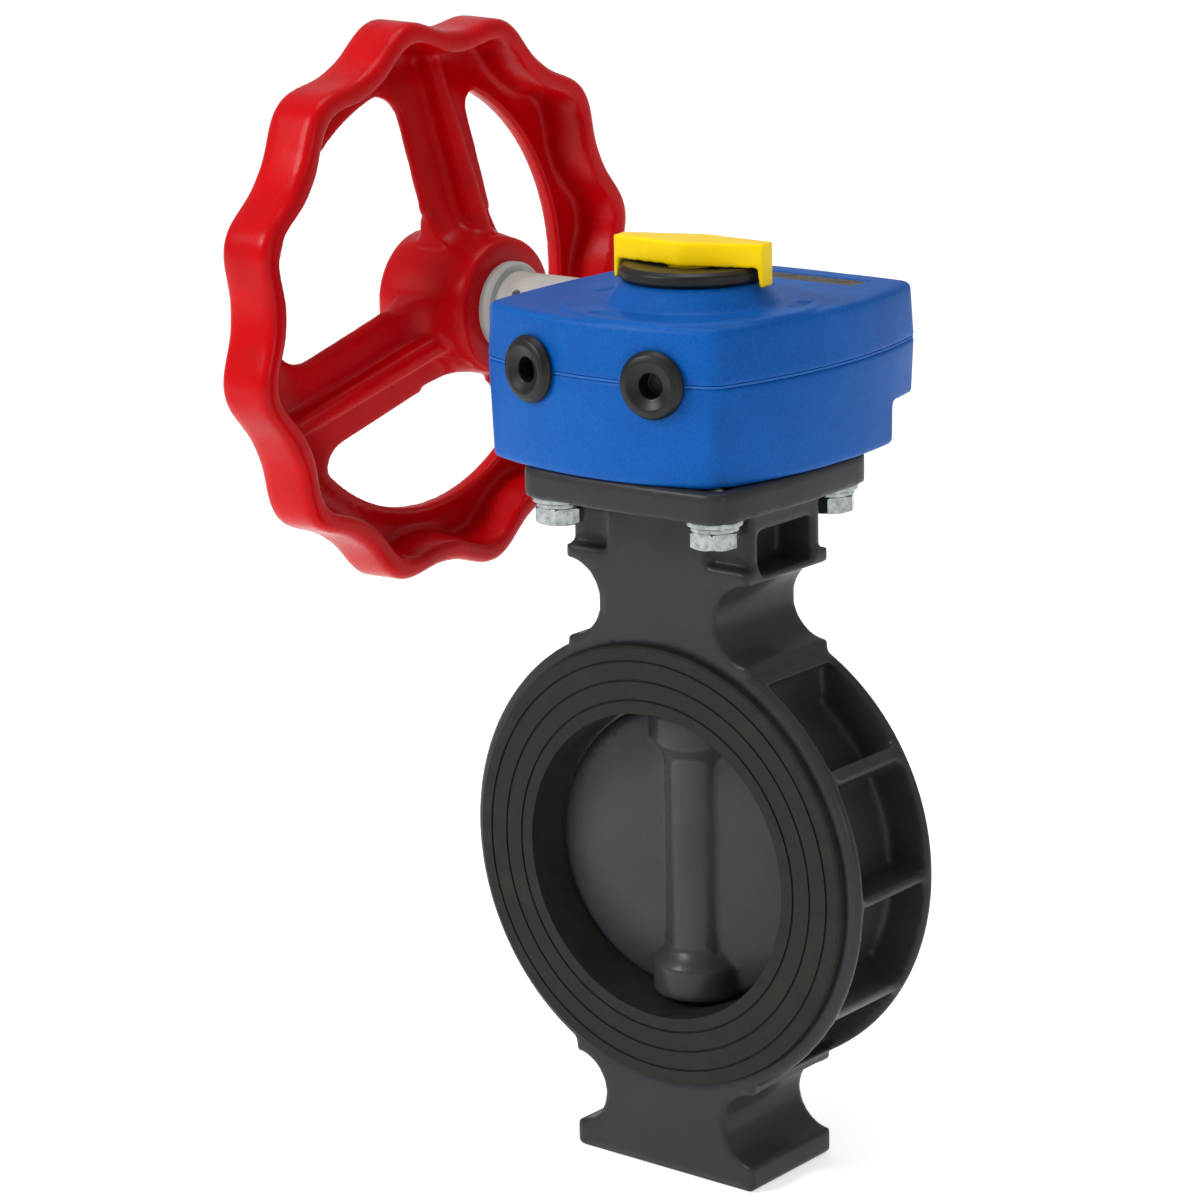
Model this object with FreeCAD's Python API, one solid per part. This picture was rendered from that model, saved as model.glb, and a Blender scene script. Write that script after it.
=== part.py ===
import FreeCAD, Part
import math
import os

from FreeCAD import Vector

# Gear operated wafer butterfly valve, one tooth open from closed
# Lengths are in mm and angles in degrees
# The origin is where the stem axis meets the pipe axis
# +Z runs up the stem, the pipe runs along Y and the worm shaft along X

X = Vector(1, 0, 0)
Y = Vector(0, 1, 0)
Z = Vector(0, 0, 1)

# Fits and gaps
fit_gap = 0.05
clear_gap = 0.5
stop_gap = 0.3

# Pipe ring of the body
rim_r = 90.7
ring_half = 25.5
rim_chamfer = 2.2
hub_ring_r = 73.0
pocket_front = 20.6
pocket_top = 76.0
pocket_inner_x = 31.0
rib_angles = (-31.0, 0.0, 31.0)
rib_widths = (6.0, 4.0, 6.0)
rib_r = 89.6
boss_pin_r = 3.4
boss_pin_x = 40.0
boss_pin_z = 65.0

# Rubber liner
bore_r = 59.3
liner_back_r = 66.0
face_ring_r = 85.2
face_recess = 24.0
face_half = 29.0
anchor_r = 69.0
anchor_half = 6.0
bead_radii = (64.5, 72.0, 79.5)
groove_w = 0.9
groove_d = 0.7

# Neck, mounting plate and foot
neck_half = 42.5
column_half = 23.3
shelf_z = 119.0
side_half_x = 41.5
side_half_y = 21.7
plate_low = 140.9
plate_top = 152.5
plate_half = 49.6
plate_corner = 9.0
plate_bulge_r = 420.0
notch_x = 42.0
notch_z = 98.5
notch_r = 15.0
foot_notch_z = -98.0
foot_notch_r = 14.3
foot_base = -122.5
foot_half = 42.5
window_half = 16.8
window_low = 116.4
window_high = 132.6
window_depth = 17.5
spigot_r = 31.0
spigot_h = 2.5

# Stem and disc
stem_r = 11.0
stem_low_r = 7.0
stem_bottom = -104.0
stem_top = 196.0
rest_pitches = 1
disc_square = 15.0
disc_square_half = 54.0
top_square = 17.0
disc_r = 58.9
disc_edge_half = 4.0
disc_mid_half = 7.0
disc_boss_r = 13.0
disc_boss_half = 52.0
disc_collar_r = 18.5
disc_collar_low = 44.0
upper_bore_r = 14.0
lower_bore_r = 10.5
lower_bore_end = -107.0
bush_low = 72.0
bush_high = 118.0
seal_ring_r = 1.45
seal_z = (121.0, 127.0)
gland_low = 130.0
gland_high = 147.5
snap_h = 1.6
snap_r = 15.2

# Flange bolts, top flange class with a 102 mm bolt circle
bolt_at = 36.07
bolt_r = 5.0
bolt_hole_r = 5.5
bolt_head_af = 17.0
bolt_head_h = 6.4
flat_washer_r = 10.5
flat_washer_h = 2.0
spring_washer_r = 9.1
spring_washer_h = 2.2
bolt_end = 168.0
bolt_boss_r = 9.5
bolt_boss_top = 174.0

# Gearbox shell
box_cx = -10.0
box_cy = 22.0
box_left = -73.3
box_right = 52.2
box_front = -51.3
box_back = 87.0
box_front_r = 140.0
box_right_r = 200.0
box_left_r = 400.0
box_back_r = 600.0
box_corner = 8.0
box_wall = 4.0
box_low = 152.5
box_top = 211.0
seam_z = 190.0
gasket_h = 0.8
low_left = 2.8
low_right = 1.0
low_front = 0.0
low_back = 2.8
top_inset = 1.2
tunnel_y = 60.5
tunnel_z = 169.0
tunnel_wall = 2.8
floor_z = 157.5
roof_z = 207.0
top_round = 2.6

# Gear set
module = 2.2
teeth = 40
pitch_r = module * teeth / 2
shaft_y = 57.4
worm_pitch_r = shaft_y - pitch_r
lead = math.pi * module
flank = 20.0
flank_gap = 0.45
gear_tip_r = pitch_r + 2.0
gear_root_r = pitch_r - 2.75
worm_tip_r = worm_pitch_r + 2.2
worm_root_r = worm_pitch_r - 2.7
shaft_z = 188.0
gear_width = 20.0
gear_low = shaft_z - gear_width / 2
gear_high = shaft_z + gear_width / 2
worm_turns = 5.6
worm_half = 22.4
tooth_from = -33.0
tooth_to = 123.0
gear_hub_r = 25.0
gear_low_journal_r = 20.0
gear_low_journal_z = 160.0
gear_top_journal_r = 14.0
gear_top_journal_z = 224.0
top_bush_high = 221.0
gear_bore_af = 26.0
drive_low = 156.0
bush_wall = 3.0
gear_bush_low = 158.0
hub_boss_wall = 6.0
thrust_gap = 0.3
shoulder_r = 18.0
shoulder_h = 1.4
relief_out_r = 38.0
relief_in_r = 27.0
relief_depth = 4.0
sector_open_x = 8.0
sector_open_y = 22.0

# Worm shaft line
shaft_r = 7.0
shaft_inner_end = 35.0
worm_bush_r = 12.0
worm_bush_len = 10.0
thrust_w = 1.8
block_half_y = 14.5
seal_out = 6.0

# Stops behind the grommets
grommet_angle = 11.7
grommet_r = 13.0
grommet_hole_r = 4.5
grommet_neck_r = 8.5
grommet_bead_r = 9.4
grommet_proud = 4.2
grommet_depth = 6.0
stop_tip_right = 22.0
stop_screw_r = 4.0
stop_screw_len = 15.5
stop_nut_af = 13.0
stop_nut_h = 6.5
stop_boss_r = 10.5
stop_boss_depth = 17.0
stop_nut_depth = 9.0

# Cover screws as x, y and head seat height
cover_screw_r = 3.0
cover_head_r = 5.0
cover_head_h = 5.0
cover_boss_wall = 2.0
cover_screw_end = 202.0
cover_sites = ((-60.0, -31.0, 153.6), (-10.0, -42.5, 153.6), (37.6, 73.0, 169.8), (-61.0, 74.0, 169.8))

# Dial, guard ring and pointer
dial_r = 48.5
dial_z = 212.0
cone_base_r = 33.0
cone_top_r = 26.4
cone_z = 220.3
neck_r = 21.0
neck_z = 224.6
guard_r = 27.2
guard_top = 226.1
guard_step_r = 23.9
recess_angles = (20.0, 92.0, 176.0, 257.0)
recess_r = 41.0
recess_half = 2.6
recess_long = 7.0
recess_h = 0.9
pointer_z = 235.1
pointer_low = 226.4
pointer_half = 31.2
pointer_mid = 11.0
pointer_end = 4.0
flap_in = 28.4
flap_low = 218.8
pointer_disc_r = 23.6
pointer_disc_low = 224.9
pointer_disc_h = 0.9
peg_af = 13.0
peg_depth = 12.0
plate_x = (-17.0, 28.0)
plate_y = (62.0, 74.0)
plate_recess = 1.2
nameplate_h = 0.8

# Sleeve and handwheel
sleeve_r = 14.6
sleeve_from = box_left + 0.4
collar_x = -133.3
collar_r = 18.3
hub_face_x = -137.8
hub_r = 27.5
hub_flange_r = 40.0
hub_flange_x = -162.0
hub_back_x = -184.0
wheel_square = 11.0
square_from = -148.0
recess_depth = 5.0
wheel_recess_r = 11.0
wheel_washer_h = 1.6
wheel_screw_r = 2.9
shaft_outer_end = hub_back_x + recess_depth + 1.0
rim_near_x = -165.0
rim_far_x = -190.0
rim_peak_r = 117.0
rim_valley_r = 109.5
rim_wall = 9.0
rim_web = 4.2
window_out_r = 88.0
lobes = 12
wheel_turn = -3.5
spoke_half = 20.0
spoke_thick = 4.6
spoke_in_r = 35.0
spoke_out_r = 86.0
spoke_out_x = -181.0
spoke_rib_half = 4.6
spoke_rib_h = 7.5
window_corner = 9.0
cap_r = 13.6
cap_out_x = -196.0
set_screw_x = -123.5
set_screw_angle = 34.0
set_screw_r = 2.0


def cyl(radius, x, y, z, length, axis=Z):
    """Cylinder from a start point along an axis."""
    return Part.makeCylinder(radius, length, Vector(x, y, z), axis)


def box(x0, x1, y0, y1, z0, z1):
    """Block between two corners."""
    return Part.makeBox(x1 - x0, y1 - y0, z1 - z0, Vector(x0, y0, z0))


def face_of(points):
    """Flat face inside a closed polygon."""
    closed = list(points) + [points[0]]
    return Part.Face(Part.makePolygon(closed))


def turned(points, centre, axis):
    """Solid of revolution of a closed polygon."""
    return face_of(points).revolve(centre, axis, 360)


def hexagon(flats, x, y, z, height):
    """Upright hexagonal prism."""
    corner = flats / math.sqrt(3)
    points = []
    for i in range(6):
        angle = math.radians(60 * i)
        points.append(Vector(x + corner * math.cos(angle), y + corner * math.sin(angle), z))
    return face_of(points).extrude(Vector(0, 0, height))


def rotated(shape, angle, centre, axis):
    """Copy turned about an axis."""
    copy = shape.copy()
    copy.rotate(centre, axis, angle)
    return copy


def join(shapes):
    """Union that keeps every face."""
    result = shapes[0]
    for shape in shapes[1:]:
        result = result.fuse(shape)
    return result


def fuse(shapes):
    """Union with merged faces."""
    return join(shapes).removeSplitter()


def cut(shape, tools):
    """Cut a list of tools from a shape."""
    for tool in tools:
        shape = shape.cut(tool)
    return shape


def solid_of(shape):
    """Largest solid of a result."""
    return max(shape.Solids, key=lambda item: item.Volume)


def meet(c1, r1, c2, r2, near):
    """Crossing point of two circles that lies nearest to a given point."""
    dx = c2[0] - c1[0]
    dy = c2[1] - c1[1]
    gap = math.hypot(dx, dy)
    along = (gap * gap + r1 * r1 - r2 * r2) / (2 * gap)
    off = math.sqrt(r1 * r1 - along * along)
    mx = c1[0] + along * dx / gap
    my = c1[1] + along * dy / gap
    options = ((mx - off * dy / gap, my + off * dx / gap), (mx + off * dy / gap, my - off * dx / gap))
    return min(options, key=lambda p: math.hypot(p[0] - near[0], p[1] - near[1]))


def cushion(left, right, front, back, cx, cy, radii, corner, z):
    """Closed outline of four bulging sides with rounded corners."""
    r_left, r_right, r_front, r_back = radii
    c_left = (left + r_left, cy)
    c_right = (right - r_right, cy)
    c_front = (cx, front + r_front)
    c_back = (cx, back - r_back)
    fl = meet(c_front, r_front, c_left, r_left, (left, front))
    fr = meet(c_front, r_front, c_right, r_right, (right, front))
    br = meet(c_back, r_back, c_right, r_right, (right, back))
    bl = meet(c_back, r_back, c_left, r_left, (left, back))
    mids = ((cx, front), (right, cy), (cx, back), (left, cy))
    ends = ((fl, fr), (fr, br), (br, bl), (bl, fl))
    edges = []
    for mid, (a, b) in zip(mids, ends):
        arc = Part.Arc(Vector(a[0], a[1], z), Vector(mid[0], mid[1], z), Vector(b[0], b[1], z))
        edges.append(arc.toShape())
    wire = Part.Wire(edges)
    inner = wire.makeOffset2D(-corner)
    return inner.makeOffset2D(corner)


def side_drafts(z):
    """Draft of the left, right, front and back wall at a height."""
    if z <= seam_z:
        share = (seam_z - z) / (seam_z - box_low)
        return [share * side for side in (low_left, low_right, low_front, low_back)]
    return [top_inset * (z - seam_z) / (box_top - seam_z)] * 4


def shell_outline(inset, z):
    """Drafted gearbox outline at a height, moved inwards by an inset."""
    left, right, front, back = side_drafts(z)
    radii = (box_left_r, box_right_r, box_front_r, box_back_r)
    corner = max(box_corner - inset, 3.0)
    return cushion(box_left + left + inset, box_right - right - inset, box_front + front + inset,
                   box_back - back - inset, box_cx, box_cy, radii, corner, z)


def loft(low, high):
    """Ruled solid between two outlines."""
    return Part.makeLoft([low, high], True, True)


def square_bar(flats, z0, z1):
    """Square bar about the stem axis."""
    half = flats / 2
    return box(-half, half, -half, half, z0, z1)


def edges_along(shape, test):
    """Edges that pass a test on their bounding box."""
    return [edge for edge in shape.Edges if test(edge.BoundBox)]


def make_body():
    """Plastic body with ring, neck, mounting plate and foot."""
    half = ring_half
    profile = [Vector(0, -half, 0), Vector(rim_r - rim_chamfer, -half, 0),
               Vector(rim_r, -half + rim_chamfer, 0), Vector(rim_r, half - rim_chamfer, 0),
               Vector(rim_r - rim_chamfer, half, 0), Vector(0, half, 0)]
    ring = turned(profile, Vector(0, 0, 0), Y)
    pocket = box(pocket_inner_x, rim_r + 5, -pocket_front, pocket_front, -pocket_top, pocket_top)
    pocket = pocket.cut(cyl(hub_ring_r, 0, -half, 0, 2 * half, Y))
    for angle, width in zip(rib_angles, rib_widths):
        rib = box(0, rib_r, -pocket_front, pocket_front, -width / 2, width / 2)
        pocket = pocket.cut(rotated(rib, -angle, Vector(0, 0, 0), Y))
    pocket = pocket.removeSplitter()
    mirror = rotated(pocket, 180, Vector(0, 0, 0), Z)
    ring = cut(ring, [pocket, mirror])
    lower_neck = box(-neck_half, neck_half, -half, half, 60, shelf_z)
    column = box(-column_half, column_half, -half, half, shelf_z - 1, plate_low + 1)
    sides = box(-side_half_x, side_half_x, -side_half_y, side_half_y, shelf_z - 1, plate_low + 1)
    foot = box(-foot_half, foot_half, -half, half, foot_base, -60)
    foot = foot.makeChamfer(1.6, edges_along(foot, lambda b: b.YLength > 40 and b.ZMax < foot_base + 1))
    outline = cushion(-plate_half, plate_half, -plate_half, plate_half, 0, 0,
                      (plate_bulge_r,) * 4, plate_corner, plate_low)
    plate = Part.Face(outline).extrude(Vector(0, 0, plate_top - plate_low))
    body = fuse([ring, lower_neck, column, sides, foot, plate])
    tools = []
    for side in (-1, 1):
        tools.append(cyl(notch_r, side * notch_x, -half - 1, notch_z, 2 * half + 2, Y))
        tools.append(cyl(foot_notch_r, side * (foot_half + 0.2), -half - 1, foot_notch_z, 2 * half + 2, Y))
        outer = side * (neck_half + 1)
        inner = side * (neck_half - window_depth)
        window = box(min(outer, inner), max(outer, inner), -window_half, window_half, window_low, window_high)
        window = window.makeFillet(2.0, edges_along(window, lambda b: b.XLength > 10))
        tools.append(window)
    tools.append(cyl(liner_back_r, 0, -half - 1, 0, 2 * half + 2, Y))
    tools.append(cyl(anchor_r, 0, -anchor_half, 0, 2 * anchor_half, Y))
    tools.append(cyl(face_ring_r, 0, -half - 1, 0, half + 1 - face_recess, Y))
    tools.append(cyl(face_ring_r, 0, face_recess, 0, half + 1 - face_recess, Y))
    tools.append(cyl(upper_bore_r, 0, 0, 40, plate_top - 39))
    tools.append(cyl(snap_r, 0, 0, gland_high, snap_h))
    tools.append(cyl(lower_bore_r, 0, 0, lower_bore_end, -lower_bore_end - 40))
    tools.append(cyl(spigot_r + fit_gap, 0, 0, plate_top - spigot_h - 0.5, spigot_h + 1))
    for sx in (-1, 1):
        for sy in (-1, 1):
            tools.append(cyl(bolt_hole_r, sx * bolt_at, sy * bolt_at, plate_low - 1, 14))
    body = cut(body, tools)
    pins = []
    for side in (-1, 1):
        pins.append(cyl(boss_pin_r, side * boss_pin_x, pocket_front - 5, boss_pin_z, 6, Y))
    return solid_of(fuse([body] + pins))


def make_liner():
    """Rubber liner with face rings, anchor rib and sealing grooves."""
    profile = [Vector(bore_r, -face_half, 0), Vector(face_ring_r - 0.8, -face_half, 0),
               Vector(face_ring_r, -face_half + 0.8, 0), Vector(face_ring_r, -face_recess, 0),
               Vector(liner_back_r, -face_recess, 0), Vector(liner_back_r, -anchor_half, 0),
               Vector(anchor_r, -anchor_half, 0), Vector(anchor_r, anchor_half, 0),
               Vector(liner_back_r, anchor_half, 0), Vector(liner_back_r, face_recess, 0),
               Vector(face_ring_r, face_recess, 0), Vector(face_ring_r, face_half - 0.8, 0),
               Vector(face_ring_r - 0.8, face_half, 0), Vector(bore_r, face_half, 0)]
    liner = turned(profile, Vector(0, 0, 0), Y)
    tools = []
    for radius in bead_radii:
        for y in (-face_half - 1, face_half - groove_d):
            groove = cyl(radius + groove_w / 2, 0, y, 0, 1 + groove_d, Y)
            tools.append(groove.cut(cyl(radius - groove_w / 2, 0, y, 0, 1 + groove_d, Y)))
    tools.append(cyl(stem_r + fit_gap, 0, 0, 40, 50))
    tools.append(cyl(stem_low_r + fit_gap, 0, 0, -90, 50))
    return solid_of(cut(liner, tools))


def make_disc():
    """Disc with a thick middle, upright boss and end collars."""
    profile = [Vector(0, -disc_mid_half, 0), Vector(disc_r * 0.55, -disc_mid_half, 0),
               Vector(disc_r - 3, -disc_edge_half - 0.6, 0), Vector(disc_r - 0.5, -disc_edge_half + 1.5, 0),
               Vector(disc_r - 0.1, 0, 0), Vector(disc_r - 0.5, disc_edge_half - 1.5, 0),
               Vector(disc_r - 3, disc_edge_half + 0.6, 0), Vector(disc_r * 0.55, disc_mid_half, 0),
               Vector(0, disc_mid_half, 0)]
    plate = turned(profile, Vector(0, 0, 0), Y)
    boss = cyl(disc_boss_r, 0, 0, -disc_boss_half, 2 * disc_boss_half)
    wedge = Part.makeCone(disc_boss_r, disc_collar_r, 6, Vector(0, 0, disc_collar_low - 6), Z)
    collar = cyl(disc_collar_r, 0, 0, disc_collar_low, disc_r - disc_collar_low)
    upper = fuse([wedge, collar])
    lower = rotated(upper, 180, Vector(0, 0, 0), Y)
    ball = Part.makeSphere(disc_r)
    shape = fuse([plate, boss, upper, lower]).common(ball)
    tools = [square_bar(disc_square + 0.1, -disc_square_half, disc_square_half),
             cyl(stem_r + fit_gap, 0, 0, disc_square_half - 1, 10),
             cyl(stem_low_r + fit_gap, 0, 0, -disc_square_half - 10, 12)]
    return solid_of(cut(shape, tools))


def make_stem():
    """Stem with a lower trunnion, disc square, seal journal and top square."""
    low = cyl(stem_low_r, 0, 0, stem_bottom, -disc_square_half - stem_bottom)
    middle = square_bar(disc_square, -disc_square_half, disc_square_half)
    journal = cyl(stem_r, 0, 0, disc_square_half, 153.5 - disc_square_half)
    top = square_bar(top_square, 153.5, stem_top).common(cyl(stem_r, 0, 0, 150, 60))
    stem = fuse([low, middle, journal, top])
    ends = edges_along(stem, lambda b: b.ZMax < stem_bottom + 0.1)
    return solid_of(stem.makeChamfer(0.8, ends))


def make_bush(outer, inner, z0, z1):
    """Plain bush about the stem axis."""
    return solid_of(cyl(outer, 0, 0, z0, z1 - z0).cut(cyl(inner, 0, 0, z0 - 1, z1 - z0 + 2)))


def make_snap_ring():
    """Split ring that holds the gland bush in the neck."""
    ring = cyl(snap_r, 0, 0, gland_high, snap_h).cut(cyl(stem_r + 0.7, 0, 0, gland_high - 1, snap_h + 2))
    return solid_of(ring.cut(box(-2.5, 2.5, 5, 20, gland_high - 1, gland_high + snap_h + 1)))


def make_flange_bolt(sx, sy):
    """Hexagon bolt that enters the plate from below."""
    x = sx * bolt_at
    y = sy * bolt_at
    seat = plate_low - flat_washer_h - spring_washer_h
    head = hexagon(bolt_head_af, x, y, seat - bolt_head_h, bolt_head_h)
    cone = Part.makeCone(bolt_head_af / 2 - 0.3, bolt_head_af / 2 + 3.2, 3.5,
                         Vector(x, y, seat - bolt_head_h), Z)
    body = cone.fuse(cyl(bolt_head_af / 2 + 3.2, x, y, seat - bolt_head_h + 3.4, 8))
    head = head.common(body)
    shank = cyl(bolt_r, x, y, seat - 0.5, bolt_end - seat + 0.5)
    bolt = fuse([head, shank])
    tip = edges_along(bolt, lambda b: b.ZMin > bolt_end - 0.1)
    return solid_of(bolt.makeChamfer(0.8, tip))


def make_flat_washer(sx, sy):
    """Flat washer under the plate."""
    x = sx * bolt_at
    y = sy * bolt_at
    z = plate_low - flat_washer_h
    ring = cyl(flat_washer_r, x, y, z, flat_washer_h)
    return solid_of(ring.cut(cyl(bolt_r + 0.25, x, y, z - 1, flat_washer_h + 2)))


def make_spring_washer(sx, sy):
    """Split spring washer between head and flat washer."""
    x = sx * bolt_at
    y = sy * bolt_at
    z = plate_low - flat_washer_h - spring_washer_h
    ring = cyl(spring_washer_r, x, y, z, spring_washer_h)
    ring = ring.cut(cyl(bolt_r + 0.1, x, y, z - 1, spring_washer_h + 2))
    slot = box(x - 0.8, x + 0.8, y, y + 12, z - 2, z + spring_washer_h + 2)
    slot = rotated(slot, 25, Vector(x, y, z), Vector(0, 1, 0))
    return solid_of(ring.cut(slot))


def grommet_frame(side):
    """Outer wall point and inward direction of a grommet on one side."""
    angle = math.radians(grommet_angle)
    centre_y = box_front + box_front_r
    out_x = box_cx + side * box_front_r * math.sin(angle)
    point = Vector(out_x, centre_y - box_front_r * math.cos(angle), seam_z)
    inward = Vector(-side * math.sin(angle), math.cos(angle), 0)
    return point, inward


def stop_plane():
    """Distance of both stop flats from the stem axis."""
    point, inward = grommet_frame(1)
    return -point.dot(inward) - stop_tip_right


def stop_tip(side):
    """Depth of a stop screw tip below the outer wall point."""
    point, inward = grommet_frame(side)
    return -point.dot(inward) - stop_plane()


def along(point, direction, start, length, radius):
    """Cylinder that starts at a depth from a point."""
    return Part.makeCylinder(radius, length, point + direction * start, direction)


def stop_hex(side, extra):
    """Hexagonal nut body on a stop screw axis."""
    point, inward = grommet_frame(side)
    nut = hexagon(stop_nut_af + 2 * extra, 0, 0, 0, stop_nut_h + 2 * extra)
    nut.rotate(Vector(0, 0, 0), X, -90)
    nut.rotate(Vector(0, 0, 0), Z, math.degrees(math.atan2(-inward.x, inward.y)))
    nut.translate(point + inward * (stop_nut_depth - extra))
    return nut


def stop_tools(side):
    """Grommet seat, nut pocket and screw hole of one stop."""
    point, inward = grommet_frame(side)
    return [along(point, inward, -6, 6 + box_wall + 0.5, grommet_neck_r),
            along(point, inward, box_wall, grommet_depth - box_wall, grommet_bead_r),
            along(point, inward, box_wall, 20, stop_screw_r + clear_gap),
            stop_hex(side, fit_gap)]


def shaft_blocks():
    """Bearing blocks for the worm shaft and the outer wall boss."""
    start = worm_half + thrust_w + 0.2
    low = shaft_y - block_half_y
    inner = box(start, start + 12.5, low, box_back, box_low, box_top)
    outer = box(-start - 12.5, -start, low, box_back, box_low, box_top)
    boss = cyl(worm_bush_r + 5.0, box_left, shaft_y, shaft_z, 15, X)
    return [inner, outer, boss]


def shaft_tools():
    """Bores of the worm shaft line."""
    start = worm_half + thrust_w + 0.2
    return [cyl(worm_bush_r, start - 1, shaft_y, shaft_z, worm_bush_len + 1, X),
            cyl(shaft_r + 1.5, start - 1, shaft_y, shaft_z, 12.2, X),
            cyl(worm_bush_r, -start - worm_bush_len, shaft_y, shaft_z, worm_bush_len + 1, X),
            cyl(shaft_r + 1.0, -start - 20, shaft_y, shaft_z, 20, X),
            cyl(worm_bush_r, box_left + 4, shaft_y, shaft_z, seal_out, X),
            cyl(shaft_r + 1.0, box_left - 5, shaft_y, shaft_z, 30, X)]


def gear_sweep():
    """Space the sector sweeps inside the shell."""
    return cyl(gear_tip_r + 0.9, 0, 0, gear_low - 0.8, gear_high - gear_low + 1.6)


def make_base():
    """Lower shell with floor, bosses, bearing blocks and stop seats."""
    seam = seam_z - gasket_h / 2
    outer = loft(shell_outline(0, box_low), shell_outline(0, seam))
    step = box(-120, 120, tunnel_y, 140, box_low - 5, tunnel_z)
    front_top = edges_along(step, lambda b: b.ZMin > tunnel_z - 0.1 and b.YMax < tunnel_y + 0.1)
    step = step.makeFillet(2.0, front_top)
    outer = outer.cut(step)
    rounding = edges_along(outer, lambda b: b.ZMax < box_low + 0.01)
    outer = outer.makeFillet(2.0, rounding)
    cavity = loft(shell_outline(box_wall, box_low), shell_outline(box_wall, seam))
    cavity = cavity.cut(box(-120, 120, -120, 140, box_low - 5, floor_z))
    cavity = cavity.cut(box(-120, 120, tunnel_y - tunnel_wall, 140, box_low - 5, tunnel_z + tunnel_wall))
    bush_r = gear_low_journal_r + bush_wall
    adds = [cyl(bush_r + hub_boss_wall, 0, 0, box_low, gear_low - thrust_gap - box_low)]
    for sx in (-1, 1):
        for sy in (-1, 1):
            adds.append(cyl(bolt_boss_r, sx * bolt_at, sy * bolt_at, box_low, bolt_boss_top - box_low))
    for x, y, seat in cover_sites:
        adds.append(cyl(cover_head_r + cover_boss_wall, x, y, box_low, seam - box_low))
    adds.extend(shaft_blocks())
    sweep = gear_sweep()
    inside = [shape.common(outer).cut(sweep) for shape in adds]
    for side in (-1, 1):
        point, inward = grommet_frame(side)
        inside.append(along(point, inward, 0, stop_boss_depth, stop_boss_r).common(outer))
    base = outer.cut(cavity).cut(sweep)
    spigot = cyl(spigot_r, 0, 0, box_low - spigot_h, spigot_h + 1)
    base = join([base, spigot] + inside)
    tools = [cyl(bush_r + fit_gap, 0, 0, gear_bush_low, 40), cyl(upper_bore_r - 1.0, 0, 0, box_low - 10, 40)]
    for sx in (-1, 1):
        for sy in (-1, 1):
            tools.append(cyl(bolt_r, sx * bolt_at, sy * bolt_at, box_low - 1, bolt_end + 2.5 - box_low))
    for x, y, seat in cover_sites:
        tools.append(cyl(cover_screw_r + 0.3, x, y, box_low - 5, 60))
        tools.append(cyl(cover_head_r + 0.6, x, y, box_low - 5, seat + cover_head_h - box_low + 5))
    tools.extend(shaft_tools())
    for side in (-1, 1):
        tools.extend(stop_tools(side))
    return solid_of(cut(base, tools))


def make_cover():
    """Upper shell with dial, cone, recesses and upper bearing."""
    seam = seam_z + gasket_h / 2
    outer = loft(shell_outline(0, seam), shell_outline(0, box_top))
    rounding = edges_along(outer, lambda b: b.ZMin > box_top - 0.01)
    outer = outer.makeFillet(top_round, rounding)
    cavity = loft(shell_outline(box_wall, seam), shell_outline(box_wall, box_top))
    cavity = cavity.cut(box(-120, 120, -120, 140, roof_z, box_top + 5))
    bush_r = gear_top_journal_r + bush_wall
    bush_z = gear_high + shoulder_h + thrust_gap
    adds = [cyl(bush_r + hub_boss_wall - 1.0, 0, 0, bush_z, roof_z - bush_z + 1)]
    for x, y, seat in cover_sites:
        adds.append(cyl(cover_head_r + cover_boss_wall, x, y, seam, roof_z - seam + 1))
    adds.extend(shaft_blocks())
    sweep = gear_sweep()
    inside = [shape.common(outer).cut(sweep) for shape in adds]
    for side in (-1, 1):
        point, inward = grommet_frame(side)
        inside.append(along(point, inward, 0, stop_boss_depth, stop_boss_r).common(outer))
    cover = join([outer.cut(cavity).cut(sweep)] + inside)
    dial = [Vector(0, 0, box_top - 1), Vector(dial_r, 0, box_top - 1), Vector(dial_r, 0, dial_z - 0.3),
            Vector(dial_r - 0.5, 0, dial_z), Vector(cone_base_r, 0, dial_z), Vector(cone_top_r, 0, cone_z),
            Vector(neck_r, 0, cone_z), Vector(neck_r, 0, neck_z), Vector(0, 0, neck_z)]
    dial_solid = turned(dial, Vector(0, 0, 0), Z)
    trim = Part.Face(shell_outline(top_round * 0.6, box_top)).extrude(Vector(0, 0, 30))
    cover = cover.fuse(dial_solid.common(trim))
    tools = [cyl(bush_r + fit_gap, 0, 0, bush_z - 1, top_bush_high - bush_z + 1),
             cyl(gear_top_journal_r + 1.0, 0, 0, bush_z - 1, 40)]
    for x, y, seat in cover_sites:
        tools.append(cyl(cover_screw_r, x, y, seam - 1, 13))
    tools.extend(shaft_tools())
    for side in (-1, 1):
        tools.extend(stop_tools(side))
    for angle in recess_angles:
        pocket = box(recess_r - recess_half, recess_r + recess_half, -recess_long, recess_long,
                     dial_z - recess_h, dial_z + 1)
        tools.append(rotated(pocket, angle, Vector(0, 0, 0), Z))
    tools.append(box(plate_x[0], plate_x[1], plate_y[0], plate_y[1], box_top - plate_recess, box_top + 1))
    return solid_of(cut(cover, tools))


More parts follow.
